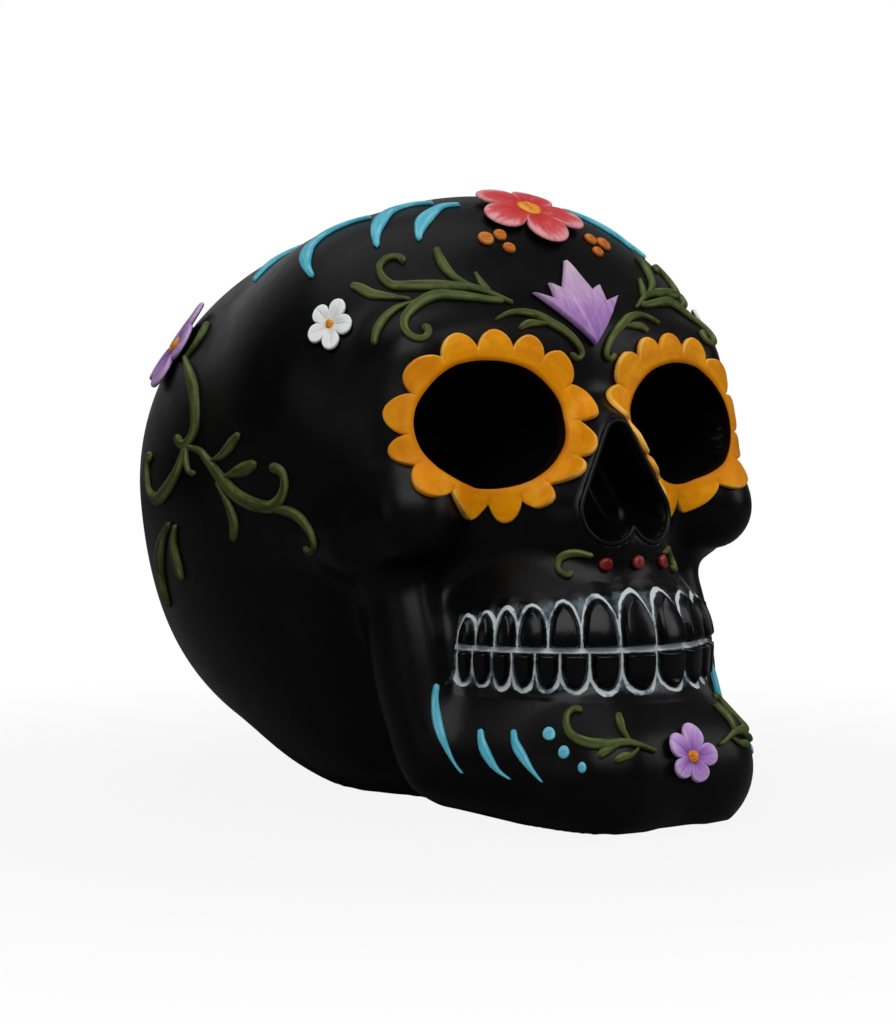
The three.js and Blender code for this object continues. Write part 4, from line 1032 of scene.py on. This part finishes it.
lotusShape = {
    "half": ((0, 45.5), (5.3, 48.4), (9.6, 50.8), (13.2, 52.8), (17.5, 54.9), (9.8, 53.7), (10.4, 57.1),
             (5.9, 56), (2.5, 59.6), (0.5, 61.5)),
    "notches": ((9.8, 53.7), (5.9, 56)), "middle": (0, 51), "foot": 45.5, "tip": 61.6,
    "height": 1.6, "edge": 0.6, "step": 0.25, "rows": 44, "fold": 0.16, "crease": 0.45,
    # the ends of the fold that gets a painted highlight, and how much paler it is
    "foldHighlight": ((-3.6, 53.4), (-0.8, 46.8)), "paler": 0.3,
}


def segmentGap(points, start, end):
    # distance from each point of the plane to the line between two ends
    line = end - start
    along = np.clip((points - start) @ line / (line @ line), 0, 1)
    return np.linalg.norm(points - start - along[..., None] * line, axis=-1)


def lotusSheet():
    # rays from the lotus's middle to its outline; the top is level, rounded down over its edge, folded
    # along the midline and creased from each notch towards the foot; a paler line is painted along one fold
    # as its highlight
    spec = lotusShape
    centre = onSkin(spec["middle"], 1)
    normal, east, north = skinFrame(centre)

    def flat(places):
        # places on the skin as east and north of the lotus's middle
        off = onSkin(places, 1) - centre
        return np.stack([off @ east, off @ north], -1)

    half = np.array(spec["half"], float)
    whole = flat(np.concatenate([half, half[:0:-1] * np.array([-1, 1])]))
    ends = np.roll(whole, -1, 0)
    steps = np.maximum(1, (np.linalg.norm(ends - whole, axis=1) / spec["step"]).astype(int))
    edge = np.concatenate([start + (end - start) * (np.arange(count) / count)[:, None]
                           for start, end, count in zip(whole, ends, steps)])
    share = np.sin(np.linspace(0.02, np.pi / 2, spec["rows"]))
    plane = share[:, None, None] * edge[None]
    gap = np.min([segmentGap(plane, start, end) for start, end in zip(whole, ends)], 0)
    rim = np.sqrt(1 - (1 - np.clip(gap / spec["edge"], 0, 1)) ** 2)
    foot = flat((0, spec["foot"]))
    folds = np.exp(-(plane[..., 0] / spec["crease"]) ** 2)
    for across, up in spec["notches"]:
        for side in (-1, 1):
            line = segmentGap(plane, flat((side * across, up)), 0.45 * foot)
            folds = np.maximum(folds, 0.8 * np.exp(-(line / spec["crease"]) ** 2))
    lift = bead["gap"] + spec["height"] * rim - spec["fold"] * folds * rim
    plane = np.concatenate([plane, 0.98 * plane[-1:]])
    lift = np.concatenate([lift, np.full((1, lift.shape[1]), -bead["bed"])])
    near = settle(centre + plane[..., :1] * east + plane[..., 1:] * north, 30)
    grid = near + lift[..., None] * skinNormal(near)
    tip = flat((0, spec["tip"]))
    # painted highlight: a paler line along one fold
    foldHighlight = np.exp(-(segmentGap(plane, *flat(spec["foldHighlight"])) / spec["crease"]) ** 2)
    reach = (plane[..., 1] - foot[1]) / (tip[1] - foot[1]) + spec["paler"] * foldHighlight
    rise = np.concatenate([rim, np.zeros((1, rim.shape[1]))])
    grain = np.stack([plane[..., 1], plane[..., 0], lift], -1)
    return sheet(grid, around=True, capStart=True, capEnd=True, rise=rise, reach=reach, grain=grain)


lotusTones = [(0.05, (146, 102, 174)), (0.35, (166, 124, 186)), (0.6, (192, 158, 198)),
              (0.95, (210, 184, 206))]
# the second colour is the painted shade at the lotus's edge and foot
lotusFinish = petalPaint("lotus_paint", lotusTones, (20, 12, 26), (0.14, 0.9, 0.6))
makePiece("forehead_lotus_look", [lotusSheet()], lotusFinish, ["forehead_lotus"])
print("lotus fixed")

# Beads and painted spots

crownDots = {"outer": ((29.6, 64.4), 2.1), "inner": ((23.6, 65.8), 1.8), "low": ((21.2, 63.1), 1.6)}
lipDots = {"middle": (-0.3, 0.2), "right": (7, 0), "left": (-8.3, 0)}
spots = {"crownHeight": 0.9, "lipHeight": 1.3, "lipRadius": 1.7, "jawHeight": 0.35,
         "jaw": (((21.8, -27), 1.5), ((20.2, -27.8), 1.35), ((18.1, -28.3), 1.05))}


def dotSheet(place, side, radius, height, stretch=1.0):
    # a rounded bead: a quarter ellipse of height over the radius, a little uneven in plan
    at = onSkin(place, side)
    normal, east, north = skinFrame(at)
    turn = np.linspace(0, 2 * np.pi, 56, endpoint=False)
    slope = np.concatenate([[-0.5, -0.2], np.linspace(0, np.pi / 2 * 0.97, 14)])
    across = radius * (np.cos(slope) ** 0.45)[:, None] * (1 + 0.04 * np.sin(2 * turn + place[0]))[None, :]
    eastward, northward = across * np.cos(turn), across * np.sin(turn)
    plane = at + eastward[..., None] * east + stretch * northward[..., None] * north
    up = np.where(slope < 0, slope, np.sin(np.maximum(slope, 0)) ** 0.9 * (height + bead["gap"]))
    up = up[:, None] * np.ones_like(across)
    grid = settle(plane, 16) + up[..., None] * normal
    rise = np.clip(np.sin(slope), 0, 1)[:, None] * np.ones_like(across)
    grain = np.stack([eastward, northward, up], -1)
    return sheet(grid, around=True, capStart=True, capEnd=True, rise=rise,
                 shoulder=np.exp(-((rise - 0.75) / 0.2) ** 2), grain=grain)


for sideName, side in sides.items():
    for name, (place, radius) in crownDots.items():
        dot = dotSheet(place, side, radius, spots["crownHeight"])
        makePiece(f"crown_dot_{name}_look_{sideName}", [dot], orangeFinish,
                  [f"crown_dot_{name}_{sideName}"])
    painted = [dotSheet(place, side, radius, spots["jawHeight"], 1.2) for place, radius in spots["jaw"]]
    makePiece("jaw_spots_" + sideName, painted, turquoiseFinish)
for name, place in lipDots.items():
    dot = dotSheet(place, sides["right"], spots["lipRadius"], spots["lipHeight"])
    makePiece(f"lip_dot_{name}_look", [dot], lipFinish, ["lip_dot_" + name])
print("beads set")

# Base: rubber plug and felt pads

feltDisc = {"columns": 64, "rows": 18, "softEdge": 0.08}


def rubberFinish():
    # matt black rubber with a fine grain and dusty patches
    finish = Finish("black_rubber", 0.75)
    dust = finish.noise(finish.place(), 180, 4)
    finish.colour(finish.ramp(dust, [(0.35, (0.008, 0.008, 0.008, 1)), (0.75, (0.03, 0.03, 0.029, 1))]))
    finish.relief(finish.noise(finish.place(), 2400, 2), 0.3, 0.0001)
    return finish.material


def feltFinish():
    # dark grey felt: short tangled fibres, lighter where the pile stands up
    finish = Finish("dark_felt", 0.95, 0.2)
    fibre = finish.noise(finish.place(), 3200, 5, 0.7)
    finish.colour(finish.ramp(fibre, [(0.3, (0.008, 0.008, 0.009, 1)), (0.75, (0.05, 0.05, 0.052, 1))]))
    finish.shader.inputs["Sheen Weight"].default_value = 0.4
    finish.relief(fibre, 0.6, 0.0003)
    return finish.material


def feltSheet(node):
    # a felt disc in the CAD pad's place: rounded edge and a slightly uneven pile
    low, high = [np.array(corner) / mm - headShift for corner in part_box(node)]
    centre, radius, tall = (low + high) / 2, (high[0] - low[0]) / 2, high[2] - low[2]
    turn = np.linspace(0, 2 * np.pi, feltDisc["columns"], endpoint=False)
    slope = np.linspace(-np.pi / 2 * 0.95, np.pi / 2 * 0.95, feltDisc["rows"])
    across = radius * (1 - feltDisc["softEdge"] * (1 - np.cos(slope))) * np.abs(np.cos(slope)) ** 0.15
    across = across[:, None] * (1 + 0.006 * np.sin(9 * turn) + 0.004 * np.sin(23 * turn))[None, :]
    up = np.sign(slope) * np.abs(np.sin(slope)) ** 0.5 * tall / 2
    grid = np.stack([across * np.cos(turn), across * np.sin(turn), up[:, None] + 0 * across], -1) + centre
    return sheet(grid, around=True, capStart=True, capEnd=True)


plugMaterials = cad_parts["base_plug"].data.materials
plugMaterials.clear()
plugMaterials.append(rubberFinish())
felt = feltFinish()
for node in sorted(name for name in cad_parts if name.startswith("felt_pad")):
    makePiece(node.replace("felt_pad", "felt_disc"), [feltSheet(node)], felt, [node])
print("base finished")

# Studio: white surroundings for the camera, soft light from above and the sides

studio = {
    "floor": 3.0,
    "lamps": (
        ("overhead", (-0.1, 0.1, 0.95), (0.0, 0.0, 0.1), (0.8, 0.8), 1.7),
        ("frontHigh", (-0.42, -0.85, 0.95), (0.0, 0.0, 0.08), (1.3, 0.8), 11.0),
        ("behind", (0.05, 0.95, 0.62), (0.0, 0.0, 0.1), (1.2, 0.8), 0.4),
        ("rightSide", (0.75, -0.65, 0.5), (0.0, 0.0, 0.08), (0.4, 0.6), 2.0),
        ("leftSide", (-1.09, -0.05, 0.27), (0.0, 0.0, 0.08), (0.32, 0.45), 0.3),
    ),
    "sky": {"high": 0.17, "low": 0.01, "behind": (0.584, 0.804, 0.11), "backdrop": 0.22, "edge": 0.6,
            "full": 0.95},
    "floorGrey": 0.2, "floorLevel": -0.0002,
}


def addLamp(name, place, aim, size, power):
    # a soft panel that faces its aim
    lamp = bpy.data.lights.new(name, "AREA")
    lamp.shape = "RECTANGLE"
    lamp.size, lamp.size_y = size
    lamp.energy = power
    holder = bpy.data.objects.new(name, lamp)
    bpy.context.collection.objects.link(holder)
    holder.location = place
    holder.rotation_euler = (Vector(aim) - Vector(place)).to_track_quat("-Z", "Y").to_euler()


def lightWorld(sky):
    # the camera sees white; other rays see a dim studio that brightens upwards, and the backdrop behind
    world = bpy.data.worlds.new("studio")
    bpy.context.scene.world = world
    world.use_nodes = True
    world.node_tree.nodes.clear()
    nodes = Nodes(world.node_tree)
    way = nodes.node("ShaderNodeTexCoord").outputs["Generated"]
    height = nodes.node("ShaderNodeSeparateXYZ", {0: way}).outputs["Z"]
    climb = {"Value": height, "From Min": -0.1, "From Max": 0.9,
             "To Min": sky["low"], "To Max": sky["high"]}
    rise = nodes.node("ShaderNodeMapRange", climb).outputs["Result"]
    facing = nodes.node("ShaderNodeVectorMath", {0: way, 1: sky["behind"]}, operation="DOT_PRODUCT")
    backdrop = nodes.span(facing.outputs["Value"], sky["edge"], sky["full"], 0.0, sky["backdrop"])
    soft = nodes.node("ShaderNodeBackground", {"Strength": nodes.plus(rise, backdrop)})
    white = nodes.node("ShaderNodeBackground", {"Color": (1, 1, 1, 1), "Strength": 1.0})
    seen = nodes.node("ShaderNodeLightPath").outputs["Is Camera Ray"]
    mixer = nodes.node("ShaderNodeMixShader", {"Fac": seen, 1: soft.outputs[0], 2: white.outputs[0]})
    nodes.node("ShaderNodeOutputWorld", {"Surface": mixer.outputs[0]})


def addFloor(size):
    # a pale floor that stays white to the camera away from the object's shadow
    corners = np.array([[-1, -1], [1, -1], [1, 1], [-1, 1]]) * size
    mesh = bpy.data.meshes.new("floor")
    mesh.from_pydata(np.column_stack([corners, np.full(4, studio["floorLevel"])]), [], [[0, 1, 2, 3]])
    floor = bpy.data.objects.new("floor", mesh)
    bpy.context.collection.objects.link(floor)
    finish = Finish("floor_white", 0.9, 0.0)
    finish.colour((studio["floorGrey"],) * 3 + (1,))
    white = finish.node("ShaderNodeEmission", {"Color": (1, 1, 1, 1), "Strength": 1.0})
    seen = finish.node("ShaderNodeLightPath").outputs["Is Camera Ray"]
    far = finish.node("ShaderNodeVectorMath", {0: finish.place()}, operation="LENGTH").outputs["Value"]
    share = finish.times(seen, finish.span(far, 0.06, 0.3, 0.9, 1.0))
    mixed = {"Fac": share, 1: finish.shader.outputs[0], 2: white.outputs[0]}
    mixer = finish.node("ShaderNodeMixShader", mixed)
    finish.put(finish.tree.nodes["Material Output"].inputs["Surface"], mixer.outputs[0])
    mesh.materials.append(finish.material)


for lampSpec in studio["lamps"]:
    addLamp(*lampSpec)
lightWorld(studio["sky"])
addFloor(studio["floor"])
bpy.context.scene.view_settings.view_transform = "Standard"
print("studio lit")
